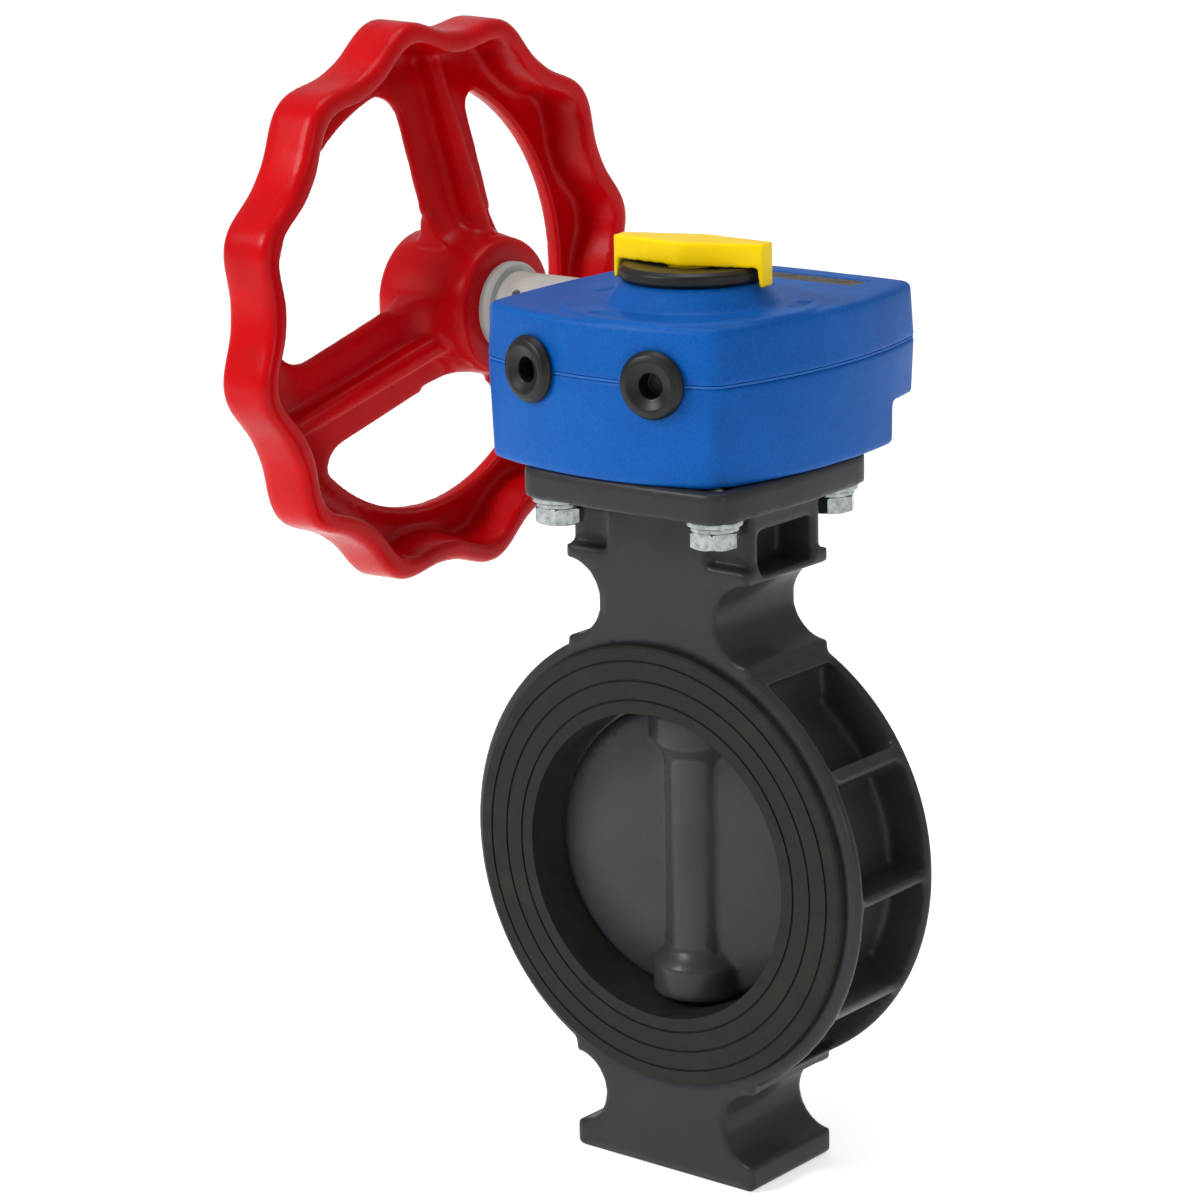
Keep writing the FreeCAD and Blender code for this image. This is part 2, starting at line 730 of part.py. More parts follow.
def make_gasket():
    """Thin seal in the seam that follows the wall and the bosses."""
    seam = seam_z - gasket_h / 2
    outer = Part.Face(shell_outline(0.3, seam)).extrude(Vector(0, 0, gasket_h))
    inner = Part.Face(shell_outline(box_wall - 0.3, seam)).extrude(Vector(0, 0, gasket_h))
    ring = outer.cut(inner)
    tools = shaft_tools()
    for side in (-1, 1):
        tools.extend(stop_tools(side))
        point, inward = grommet_frame(side)
        tools.append(along(point, inward, -6, 6 + box_wall + 3, grommet_neck_r + 2))
    tools.append(cyl(19, box_left - 8, shaft_y, shaft_z, 20, X))
    pads = []
    for x, y, seat in cover_sites:
        pad = cyl(cover_head_r + cover_boss_wall, x, y, seam, gasket_h)
        pads.append(pad.common(outer).cut(cyl(gear_tip_r + 1.5, 0, 0, seam - 1, 3)))
        tools.append(cyl(cover_screw_r + 0.3, x, y, seam - 1, 4))
    ring = fuse([ring] + pads)
    shape = cut(ring, tools)
    return Part.makeCompound(shape.Solids)


def make_nameplate():
    """Blank plate in the recess behind the dial."""
    gap = 0.15
    return box(plate_x[0] + gap, plate_x[1] - gap, plate_y[0] + gap, plate_y[1] - gap,
               box_top - plate_recess, box_top - plate_recess + nameplate_h)


def make_cover_screw(index):
    """Socket head screw from below."""
    x, y, seat = cover_sites[index]
    head = cyl(cover_head_r, x, y, seat, cover_head_h)
    shank = cyl(cover_screw_r, x, y, seat + cover_head_h - 0.5, cover_screw_end - seat - cover_head_h + 0.5)
    screw = fuse([head, shank])
    socket = hexagon(4.5, x, y, seat - 1, 3.6)
    return solid_of(screw.cut(socket))


def make_grommet(side):
    """Rubber grommet with a rounded outer lip and a closed membrane."""
    point, inward = grommet_frame(side)
    lip = grommet_proud
    hole = grommet_hole_r
    points = [(hole + 1.2, -lip + 0.9), (hole + 3.0, -lip), (hole + 5.6, -lip + 0.3),
              (hole + 7.6, -lip + 1.5), (grommet_r, -lip + 3.2), (grommet_r - 0.5, -0.1),
              (grommet_neck_r - 0.02, -0.05),
              (grommet_neck_r - 0.02, box_wall), (grommet_bead_r - 0.05, box_wall + 0.4),
              (grommet_bead_r - 0.2, grommet_depth), (hole, grommet_depth), (hole, -lip + 2.2)]
    profile = [Vector(radius, 0, depth) for radius, depth in points]
    grommet = turned(profile, Vector(0, 0, 0), Z)
    grommet.rotate(Vector(0, 0, 0), X, -90)
    grommet.rotate(Vector(0, 0, 0), Z, math.degrees(math.atan2(-inward.x, inward.y)))
    grommet.translate(point)
    return solid_of(grommet)


def make_stop_screw(side):
    """Socket set screw that limits the sector."""
    point, inward = grommet_frame(side)
    tip = stop_tip(side)
    screw = along(point, inward, tip - stop_screw_len, stop_screw_len, stop_screw_r)
    socket = hexagon(4.0, 0, 0, 0, 4.0)
    socket.rotate(Vector(0, 0, 0), X, -90)
    socket.rotate(Vector(0, 0, 0), Z, math.degrees(math.atan2(-inward.x, inward.y)))
    socket.translate(point + inward * (tip - stop_screw_len - 0.5))
    return solid_of(screw.cut(socket))


def make_stop_nut(side):
    """Captive nut of a stop screw."""
    point, inward = grommet_frame(side)
    return solid_of(stop_hex(side, 0).cut(along(point, inward, 5, 20, stop_screw_r)))


def tooth_half_angle(radius):
    """Half angle of a gear tooth at a radius."""
    base = pitch_r * math.cos(math.radians(flank))
    pressure = math.radians(flank)
    start = math.tan(pressure) - pressure
    half = (lead / 2 - flank_gap) / (2 * pitch_r)
    if radius <= base:
        return half + start
    now = math.acos(base / radius)
    return half + start - (math.tan(now) - now)


def sector_points(turn, z):
    """Outline of the toothed disc, turned by an angle, at a height."""
    radii = [gear_root_r, gear_root_r + 0.6, gear_root_r + 1.6, pitch_r, pitch_r + 1.0, gear_tip_r]
    points = []
    for i in range(teeth):
        centre = 90.0 + 360.0 / teeth * (i + 0.5)
        angle = math.radians(centre + turn)
        for radius in radii:
            at = angle - tooth_half_angle(radius)
            points.append(Vector(radius * math.cos(at), radius * math.sin(at), z))
        for radius in reversed(radii):
            at = angle + tooth_half_angle(radius)
            points.append(Vector(radius * math.cos(at), radius * math.sin(at), z))
    return points


def half_plane(normal, distance, z0, z1):
    """Large block on the far side of an upright plane."""
    block = box(0, 120, -120, 120, z0, z1)
    block.rotate(Vector(0, 0, 0), Z, math.degrees(math.atan2(normal.y, normal.x)))
    block.translate(normal * distance)
    return block


def make_worm_wheel():
    """Sector of the worm wheel with hub, journals and stop flats."""
    lean = math.degrees((gear_high - gear_low) / 2 * math.tan(lead / (2 * math.pi * worm_pitch_r)) / pitch_r)
    wires = []
    for turn, z in ((lean, gear_low), (-lean, gear_high)):
        points = sector_points(turn, z)
        wires.append(Part.makePolygon(points + [points[0]]))
    toothed = Part.makeLoft(wires, True, True)
    plain = cyl(gear_root_r + 0.1, 0, 0, gear_low, gear_high - gear_low)
    low = gear_low - 1
    high = gear_high + 1
    wedge_points = [Vector(0, 0, low)]
    steps = 16
    for i in range(steps + 1):
        angle = math.radians(tooth_from + (tooth_to - tooth_from) * i / steps)
        wedge_points.append(Vector(90 * math.cos(angle), 90 * math.sin(angle), low))
    wedge = face_of(wedge_points).extrude(Vector(0, 0, high - low))
    disc = plain.fuse(toothed.common(wedge))
    flat = stop_plane() - stop_gap
    inward_right = grommet_frame(1)[1]
    inward_left = grommet_frame(-1)[1]
    normal_closed = inward_right * -1
    normal_open = Vector(-inward_left.y, inward_left.x, 0)
    disc = disc.cut(half_plane(normal_closed, flat, low, high))
    disc = disc.cut(half_plane(normal_open, flat, low, high))
    disc = disc.cut(box(-60, sector_open_x, -60, sector_open_y, low, high))
    relief = cyl(relief_out_r, 0, 0, gear_high - relief_depth, relief_depth + 1)
    relief = relief.cut(cyl(relief_in_r, 0, 0, gear_high - relief_depth - 1, relief_depth + 3))
    disc = disc.cut(relief)
    hub = cyl(gear_hub_r, 0, 0, gear_low, gear_high - gear_low)
    low_journal = cyl(gear_low_journal_r, 0, 0, gear_low_journal_z, gear_low - gear_low_journal_z + 1)
    shoulder = cyl(shoulder_r, 0, 0, gear_high - 1, shoulder_h + 1)
    top_journal = cyl(gear_top_journal_r, 0, 0, gear_high, gear_top_journal_z - gear_high)
    gear = fuse([disc, hub, low_journal, shoulder, top_journal])
    tools = [square_bar(gear_bore_af, gear_low_journal_z - 1, 197.0),
             square_bar(peg_af, gear_top_journal_z - peg_depth - 0.5, gear_top_journal_z + 1)]
    return solid_of(cut(gear, tools))


def make_drive_bush():
    """Square reducing bush between stem and worm wheel."""
    outer = square_bar(gear_bore_af - 2 * 0.03, drive_low + 4.5, 196.5)
    skirt = cyl(gear_bore_af / 2 - 0.5, 0, 0, drive_low, 6)
    bush = fuse([outer, skirt])
    hole = square_bar(top_square + 0.06, drive_low - 1, 200).common(cyl(stem_r + 0.03, 0, 0, 150, 60))
    return solid_of(bush.cut(hole))


def worm_blank():
    """Worm about the Z axis with a left hand thread, before it is laid along X."""
    length = worm_turns * lead
    slope = math.tan(math.radians(flank))
    half = (lead / 2 - flank_gap) / 2
    root = worm_root_r - 0.4
    half_root = half + (worm_pitch_r - root) * slope
    half_tip = half - (worm_tip_r - worm_pitch_r) * slope
    start = -length / 2
    points = [Vector(root, 0, start - half_root), Vector(worm_tip_r, 0, start - half_tip),
              Vector(worm_tip_r, 0, start + half_tip), Vector(root, 0, start + half_root)]
    profile = Part.makePolygon(points + [points[0]])
    helix = Part.makeHelix(lead, length, worm_pitch_r, 0, True)
    helix.translate(Vector(0, 0, start))
    thread = Part.Wire(helix.Edges).makePipeShell([profile], True, True)
    thread.rotate(Vector(0, 0, 0), Z, 180 * worm_turns)
    core = cyl(worm_root_r, 0, 0, -worm_half, 2 * worm_half)
    return core.fuse(thread).cut(cyl(shaft_r, 0, 0, -worm_half - 1, 2 * worm_half + 2))


def make_worm():
    """Worm on the shaft, crest towards the wheel at mid length."""
    worm = worm_blank()
    worm.rotate(Vector(0, 0, 0), Y, 90)
    worm.rotate(Vector(0, 0, 0), X, -90)
    worm.translate(Vector(0, shaft_y, shaft_z))
    worm = worm.cut(worm_pin_shape())
    return solid_of(worm)


def worm_pin_shape():
    """Pin axis across the end of the worm."""
    return cyl(2.0, -18.0, shaft_y, shaft_z - 9.4, 18.8)


def make_worm_pin():
    """Spring pin through worm and shaft."""
    pin = worm_pin_shape()
    return solid_of(pin)


def make_worm_shaft():
    """Worm shaft with a square outer end and a screw hole."""
    shaft = cyl(shaft_r, square_from, shaft_y, shaft_z, shaft_inner_end - square_from, X)
    shaft = shaft.makeChamfer(0.8, edges_along(shaft, lambda b: b.XMin > shaft_inner_end - 0.1))
    half = wheel_square / 2
    square = box(shaft_outer_end, square_from + 0.5, shaft_y - half, shaft_y + half,
                 shaft_z - half, shaft_z + half)
    square = square.common(cyl(shaft_r, shaft_outer_end - 1, shaft_y, shaft_z, 50, X))
    shaft = fuse([shaft, square])
    shaft = shaft.cut(cyl(wheel_screw_r, shaft_outer_end - 1, shaft_y, shaft_z, 19, X))
    return solid_of(shaft.cut(worm_pin_shape()))


def make_worm_bush(side):
    """Bearing bush of the worm shaft."""
    start = worm_half + thrust_w + 0.2
    x = start if side > 0 else -start - worm_bush_len
    bush = cyl(worm_bush_r, x, shaft_y, shaft_z, worm_bush_len, X)
    return solid_of(bush.cut(cyl(shaft_r + fit_gap, x - 1, shaft_y, shaft_z, worm_bush_len + 2, X)))


def make_thrust_washer(side):
    """Thrust washer between worm and bearing block."""
    x = worm_half + 0.1 if side > 0 else -worm_half - 0.1 - thrust_w
    ring = cyl(13.4, x, shaft_y, shaft_z, thrust_w, X)
    return solid_of(ring.cut(cyl(shaft_r, x - 1, shaft_y, shaft_z, thrust_w + 2, X)))


def make_shaft_seal():
    """Lip seal ring where the shaft leaves the shell."""
    x = box_left + 4
    ring = cyl(worm_bush_r, x, shaft_y, shaft_z, seal_out, X)
    return solid_of(ring.cut(cyl(shaft_r + fit_gap, x - 1, shaft_y, shaft_z, seal_out + 2, X)))


def make_guard_ring():
    """Black rubber ring around the top of the cone."""
    low = cone_z + 0.02
    mid = (cone_z + guard_top) / 2
    inner = neck_r + 0.02
    step_z = pointer_disc_low - fit_gap
    points = [(inner, low), (guard_r - 1.3, low), (guard_r - 0.4, mid - 1.9), (guard_r, mid - 0.2),
              (guard_r - 0.5, mid + 1.6), (guard_r - 2.0, guard_top), (guard_step_r, guard_top),
              (guard_step_r, step_z), (inner, step_z)]
    profile = [Vector(radius, 0, z) for radius, z in points]
    return solid_of(turned(profile, Vector(0, 0, 0), Z))


def make_pointer():
    """Yellow pointer with end flaps and a square peg."""
    low = pointer_disc_low
    outline = [Vector(-pointer_half, -pointer_end, low), Vector(0, -pointer_mid, low),
               Vector(pointer_half, -pointer_end, low), Vector(pointer_half, pointer_end, low),
               Vector(0, pointer_mid, low), Vector(-pointer_half, pointer_end, low)]
    blade = face_of(outline).extrude(Vector(0, 0, pointer_z - low))
    beyond = cyl(pointer_half + 10, 0, 0, low - 1, pointer_low - low + 1)
    blade = blade.cut(beyond.cut(cyl(pointer_disc_r, 0, 0, low - 2, 5)))
    pieces = [blade, cyl(pointer_disc_r, 0, 0, low, pointer_disc_h)]
    for side in (-1, 1):
        profile = [Vector(side * flap_in, -pointer_end, pointer_low + 1),
                   Vector(side * pointer_half, -pointer_end, pointer_low + 1),
                   Vector(side * pointer_half, -pointer_end, flap_low + 0.6),
                   Vector(side * (pointer_half - 1.2), -pointer_end, flap_low),
                   Vector(side * (flap_in + 1.2), -pointer_end, flap_low)]
        pieces.append(face_of(profile).extrude(Vector(0, 2 * pointer_end, 0)))
    half = peg_af / 2 - 0.03
    pieces.append(box(-half, half, -half, half, gear_top_journal_z - peg_depth, pointer_low + 1))
    return solid_of(fuse(pieces))


def make_sleeve():
    """Grey sleeve over the shaft with a collar at the wheel."""
    profile = [Vector(sleeve_from, shaft_r + 0.02, 0), Vector(sleeve_from, sleeve_r, 0),
               Vector(collar_x, sleeve_r, 0),
               Vector(collar_x, collar_r - 1.0, 0), Vector(collar_x - 1.0, collar_r, 0),
               Vector(hub_face_x, collar_r, 0), Vector(hub_face_x, shaft_r + 0.02, 0)]
    sleeve = turned(profile, Vector(0, 0, 0), X)
    sleeve.translate(Vector(0, shaft_y, shaft_z))
    return solid_of(sleeve.cut(set_screw_axis(set_screw_r, sleeve_r + 2)))


def set_screw_axis(radius, length):
    """Cylinder on the axis of the sleeve set screw."""
    angle = math.radians(set_screw_angle)
    direction = Vector(0, -math.cos(angle), math.sin(angle))
    foot = Vector(set_screw_x, shaft_y, shaft_z) + direction * shaft_r
    return Part.makeCylinder(radius, length, foot, direction)


def make_set_screw():
    """Set screw that locks the sleeve on the shaft."""
    screw = set_screw_axis(set_screw_r - 0.02, 5.6)
    return solid_of(screw)


def wheel_place(shape):
    """Move a wheel shape from its own axes to the shaft line."""
    shape.rotate(Vector(0, 0, 0), X, wheel_turn)
    shape.translate(Vector(0, shaft_y, shaft_z))
    return shape


def lobe_wire(x, inset):
    """Closed lobed outline of the rim at a station."""
    count = lobes * 10
    points = []
    for i in range(count):
        angle = 2 * math.pi * i / count
        wave = (0.5 + 0.5 * math.cos(lobes * (angle - math.pi / lobes - math.pi / 2))) ** 1.3
        radius = rim_valley_r + (rim_peak_r - rim_valley_r) * wave - inset
        points.append(Vector(x, radius * math.cos(angle), radius * math.sin(angle)))
    curve = Part.BSplineCurve()
    curve.interpolate(points, PeriodicFlag=True)
    return Part.Wire(curve.toShape())


def rim_solid(inset_a, xa, inset_b, xb):
    """Lobed solid between two stations."""
    return Part.makeLoft([lobe_wire(xa, inset_a), lobe_wire(xb, inset_b)], True, True)


def wheel_window():
    """Open space between two spokes."""
    ring = cyl(window_out_r, -200, 0, 0, 60, X).cut(cyl(hub_flange_r, -200, 0, 0, 60, X))
    for i in range(3):
        bar = box(-201, -139, -spoke_half, spoke_half, 0, 120)
        ring = ring.cut(rotated(bar, 120 * i, Vector(0, 0, 0), X))
    windows = []
    for piece in ring.Solids:
        corners = edges_along(piece, lambda b: b.XLength > 50 and b.YLength < 0.1 and b.ZLength < 0.1)
        windows.append(piece.makeFillet(window_corner, corners))
    return windows


def make_handwheel():
    """Red handwheel with a channel rim, dished spokes and a stepped hub."""
    rim = rim_solid(2.6, rim_far_x, 0.0, rim_far_x + 3.0)
    rim = rim.fuse(rim_solid(0.0, rim_far_x + 3.0, 0.6, rim_near_x - 2.6))
    rim = rim.fuse(rim_solid(0.6, rim_near_x - 2.6, 3.0, rim_near_x))
    rim = rim.cut(rim_solid(rim_wall + 2.0, rim_far_x + rim_web, rim_wall, rim_near_x + 1))
    rim = rim.cut(cyl(window_out_r, -200, 0, 0, 60, X))
    back = spoke_thick
    dish = [Vector(hub_flange_x, spoke_in_r, 0), Vector(spoke_out_x, spoke_out_r, 0),
            Vector(rim_far_x + rim_web, spoke_out_r + 9, 0), Vector(rim_far_x, spoke_out_r + 9, 0),
            Vector(rim_far_x, spoke_out_r + 2, 0), Vector(spoke_out_x - back, spoke_out_r - 1, 0),
            Vector(hub_flange_x - back, spoke_in_r, 0)]
    web = turned(dish, Vector(0, 0, 0), X)
    web = cut(web, wheel_window())
    hub = [Vector(hub_face_x, 0, 0), Vector(hub_face_x, hub_r - 1.2, 0), Vector(hub_face_x - 1.2, hub_r, 0),
           Vector(-154.0, hub_r + 2.6, 0), Vector(-158.5, hub_r + 4.6, 0),
           Vector(hub_flange_x + 0.2, hub_r + 9.0, 0), Vector(hub_flange_x - 0.4, hub_flange_r - 2.4, 0),
           Vector(hub_flange_x - 2.8, hub_flange_r, 0), Vector(hub_flange_x - 6.5, hub_flange_r, 0),
           Vector(hub_flange_x - 8.0, hub_flange_r - 1.5, 0), Vector(hub_flange_x - 8.5, hub_r + 3, 0),
           Vector(hub_back_x, hub_r, 0), Vector(hub_back_x, 0, 0)]
    core = turned(hub, Vector(0, 0, 0), X)
    pieces = [rim, web, core]
    slope = (spoke_out_x - hub_flange_x) / (spoke_out_r - spoke_in_r)
    for i in range(3):
        start = hub_r - 1
        x_start = hub_flange_x + slope * (start - spoke_in_r)
        end = 99.0
        x_end = hub_flange_x + slope * (end - spoke_in_r)
        points = [Vector(x_start - 3, -spoke_rib_half, start),
                  Vector(x_start + spoke_rib_h + 3.5, -spoke_rib_half, start),
                  Vector(x_end + spoke_rib_h, -spoke_rib_half, end), Vector(x_end - 2, -spoke_rib_half, end)]
        rib = face_of(points).extrude(Vector(0, 2 * spoke_rib_half, 0))
        top = edges_along(rib, lambda b: b.ZLength > 40 and b.XMax > x_start + spoke_rib_h)
        rib = rib.makeFillet(3.2, top)
        pieces.append(rotated(rib, 120 * i, Vector(0, 0, 0), X))
    wheel = fuse(pieces)
    half = wheel_square / 2 + 0.03
    square = box(-186, square_from, -half, half, -half, half)
    square = rotated(square, -wheel_turn, Vector(0, 0, 0), X)
    tools = [cyl(shaft_r + 0.03, square_from - 0.01, 0, 0, 12, X), square,
             cyl(wheel_recess_r, hub_back_x - 2, 0, 0, recess_depth + 2, X)]
    wheel = cut(wheel, tools)
    return solid_of(wheel_place(wheel))


def make_wheel_washer():
    """Washer between wheel screw and shaft end."""
    low = hub_back_x + recess_depth - wheel_washer_h
    ring = cyl(wheel_recess_r - 1.0, low, shaft_y, shaft_z, wheel_washer_h, X)
    return solid_of(ring.cut(cyl(wheel_screw_r + 0.3, low - 1, shaft_y, shaft_z, wheel_washer_h + 2, X)))


def make_wheel_screw():
    """Hexagon screw that holds the wheel on the shaft."""
    seat = hub_back_x + recess_depth - wheel_washer_h
    head = hexagon(10.0, 0, 0, 0, 4.0)
    head.rotate(Vector(0, 0, 0), Y, -90)
    head.translate(Vector(seat, shaft_y, shaft_z))
    shank = cyl(wheel_screw_r, seat - 0.2, shaft_y, shaft_z, 20, X)
    return solid_of(fuse([head, shank]))


def make_hub_cap():
    """Black domed cap over the wheel screw."""
    seat = hub_back_x
    plug_r = wheel_recess_r - fit_gap
    inner_r = plug_r - 0.9
    plug_x = seat + recess_depth - 2.0
    points = [(plug_x, inner_r), (plug_x, plug_r), (seat, plug_r), (seat, cap_r), (seat - 5.5, cap_r),
              (seat - 9.2, cap_r - 1.4), (seat - 11.2, cap_r - 4.4), (cap_out_x, cap_r - 9.0),
              (cap_out_x, 0), (cap_out_x + 2.0, 0), (cap_out_x + 2.4, cap_r - 8.6), (seat - 8.0, inner_r)]
    profile = [Vector(x, radius, 0) for x, radius in points]
    cap = turned(profile, Vector(0, 0, 0), X)
    cap.translate(Vector(0, shaft_y, shaft_z))
    return solid_of(cap)


def open_stem_group(nodes):
    """Turn disc, stem and sector from closed to the rest angle."""
    for name in ("disc", "stem", "drive_bush", "worm_wheel", "position_indicator"):
        nodes[name].rotate(Vector(0, 0, 0), Z, rest_pitches * 360.0 / teeth)


def build_nodes():
    """All pieces by name."""
    nodes = {
        "valve_body": make_body(),
        "seat_liner": make_liner(),
        "disc": make_disc(),
        "stem": make_stem(),
        "upper_bushing": make_bush(upper_bore_r, stem_r + fit_gap, bush_low, bush_high),
        "gland_bushing": make_bush(upper_bore_r, stem_r + fit_gap, gland_low, gland_high),
        "lower_bushing": make_bush(lower_bore_r, stem_low_r + fit_gap, lower_bore_end + 1.5, -70.0),
        "snap_ring": make_snap_ring(),
        "gearbox_base": make_base(),
        "gearbox_cover": make_cover(),
        "housing_gasket": make_gasket(),
        "nameplate": make_nameplate(),
        "worm_wheel": make_worm_wheel(),
        "drive_bush": make_drive_bush(),
        "gear_bushing_lower": make_bush(gear_low_journal_r + bush_wall, gear_low_journal_r + fit_gap,
                                        gear_bush_low, gear_low - thrust_gap),
        "gear_bushing_upper": make_bush(gear_top_journal_r + bush_wall, gear_top_journal_r + fit_gap,
                                        gear_high + shoulder_h + thrust_gap, top_bush_high),
        "worm_shaft": make_worm_shaft(),
        "worm": make_worm(),
        "worm_pin": make_worm_pin(),
        "shaft_seal": make_shaft_seal(),
        "guard_ring": make_guard_ring(),
        "position_indicator": make_pointer(),
        "shaft_sleeve": make_sleeve(),
        "sleeve_set_screw": make_set_screw(),
        "handwheel": make_handwheel(),
        "wheel_washer": make_wheel_washer(),
        "wheel_screw": make_wheel_screw(),
        "hub_cap": make_hub_cap(),
    }
    for index, z in enumerate(seal_z):
        ring = Part.makeTorus((stem_r + upper_bore_r) / 2, seal_ring_r, Vector(0, 0, z), Z)
        nodes["stem_seal_%d" % (index + 1)] = ring
    for sx, sy in ((-1, -1), (1, -1), (-1, 1), (1, 1)):
        name = ("front_" if sy < 0 else "back_") + ("left" if sx < 0 else "right")
        nodes["flange_bolt_" + name] = make_flange_bolt(sx, sy)
        nodes["flat_washer_" + name] = make_flat_washer(sx, sy)
        nodes["spring_washer_" + name] = make_spring_washer(sx, sy)
    for index in range(len(cover_sites)):
        nodes["cover_screw_%d" % (index + 1)] = make_cover_screw(index)
    for side, name, stop in ((-1, "left", "open"), (1, "right", "closed")):
        nodes["grommet_" + name] = make_grommet(side)
        nodes["stop_screw_" + stop] = make_stop_screw(side)
        nodes["stop_nut_" + stop] = make_stop_nut(side)
        nodes["worm_bush_" + name] = make_worm_bush(side)
        nodes["thrust_washer_" + name] = make_thrust_washer(side)
    open_stem_group(nodes)
    return nodes


def main():
    """Build and export every piece."""
    os.makedirs("parts", exist_ok=True)
    for name, shape in build_nodes().items():
        bounds = shape.BoundBox
        corners = (bounds.XMin, bounds.XMax, bounds.YMin, bounds.YMax, bounds.ZMin, bounds.ZMax)
        print(name, shape.isValid(), len(shape.Solids), round(shape.Volume), [round(v, 1) for v in corners])
        shape.exportStep("parts/%s.step" % name)


if __name__ == "__main__":
    main()
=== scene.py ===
"""Looks of a gear operated wafer butterfly valve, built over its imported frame."""
import logging
import math
from dataclasses import dataclass, field
from enum import Enum
from typing import Any, Callable, Optional, Sequence, Union

import bpy
import numpy as np
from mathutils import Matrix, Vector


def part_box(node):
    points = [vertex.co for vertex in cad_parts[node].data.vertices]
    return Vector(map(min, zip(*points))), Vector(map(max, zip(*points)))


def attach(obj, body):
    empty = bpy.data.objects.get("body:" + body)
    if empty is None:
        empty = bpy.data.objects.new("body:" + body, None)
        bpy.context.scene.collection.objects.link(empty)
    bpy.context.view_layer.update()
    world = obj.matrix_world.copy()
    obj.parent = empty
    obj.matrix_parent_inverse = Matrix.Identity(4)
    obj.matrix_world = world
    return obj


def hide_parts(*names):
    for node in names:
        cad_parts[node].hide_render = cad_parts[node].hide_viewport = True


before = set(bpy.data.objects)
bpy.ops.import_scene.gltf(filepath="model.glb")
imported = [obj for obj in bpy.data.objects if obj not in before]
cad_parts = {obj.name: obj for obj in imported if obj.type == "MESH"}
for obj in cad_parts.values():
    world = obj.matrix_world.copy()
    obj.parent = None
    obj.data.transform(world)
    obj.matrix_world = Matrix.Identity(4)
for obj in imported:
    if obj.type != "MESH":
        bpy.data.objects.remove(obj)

import openvdb
from mathutils import Matrix, Vector

LOG = logging.getLogger("valve")
MM = 0.001
SHARP = 0.02
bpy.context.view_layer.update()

Colour = tuple[float, float, float]
Operand = Union["Value", float]
Shade = Union["Value", Colour]
Distance = Callable[[np.ndarray, np.ndarray, np.ndarray], np.ndarray]


class Body(Enum):
    """Rigid bodies of the valve that a piece can ride on."""

    VALVE = "valve"
    STEM = "stem_group"
    WHEEL = "wheel_group"


class Axis(Enum):
    """Directions that a turned piece can have, as unit vectors."""

    X = (1.0, 0.0, 0.0)
    Z = (0.0, 0.0, 1.0)


class Value:
    """One socket of a shader tree that takes part in arithmetic."""

    def __init__(self, recipe: "Recipe", socket: bpy.types.NodeSocket) -> None:
        """Keep the socket and the recipe that it belongs to.

        Args:
            recipe: the material being written.
            socket: an output socket in its tree.
        """
        self.recipe = recipe
        self.socket = socket

    def math(self, operation: str, *others: Operand, first: bool = True) -> "Value":
        """Join this value with others in a Math node.

        Args:
            operation: name of the operation.
            others: the other operands.
            first: whether this value comes before the others.

        Returns:
            The result.
        """
        operands = (self, *others) if first else (*others, self)
        settings = {"operation": operation}
        return self.recipe.node("ShaderNodeMath", settings, dict(enumerate(operands)))

    def __add__(self, other: Operand) -> "Value":
        """Sum."""
        return self.math("ADD", other)

    __radd__ = __add__

    def __sub__(self, other: Operand) -> "Value":
        """Difference."""
        return self.math("SUBTRACT", other)

    def __rsub__(self, other: float) -> "Value":
        """Difference from a number."""
        return self.math("SUBTRACT", other, first=False)

    def __mul__(self, other: Operand) -> "Value":
        """Product."""
        return self.math("MULTIPLY", other)

    __rmul__ = __mul__

    def __abs__(self) -> "Value":
        """Size without sign."""
        return self.math("ABSOLUTE")

    def rising(self, low: float, high: float) -> "Value":
        """Smooth step from 0 below low to 1 above high.

        Args:
            low: where the step starts.
            high: where the step ends.

        Returns:
            The step.
        """
        settings = {"interpolation_type": "SMOOTHSTEP"}
        inputs = {"Value": self, "From Min": low, "From Max": high, "To Min": 0.0, "To Max": 1.0}
        return self.recipe.node("ShaderNodeMapRange", settings, inputs)


def srgb(red: int, green: int, blue: int) -> Colour:
    """Linear colour of a display colour.

    Args:
        red: red from 0 to 255.
        green: green from 0 to 255.
        blue: blue from 0 to 255.

    Returns:
        The three linear shares.
    """
    shares = (channel / 255 for channel in (red, green, blue))
    return tuple(s / 12.92 if s <= 0.04045 else ((s + 0.055) / 1.055) ** 2.4 for s in shares)


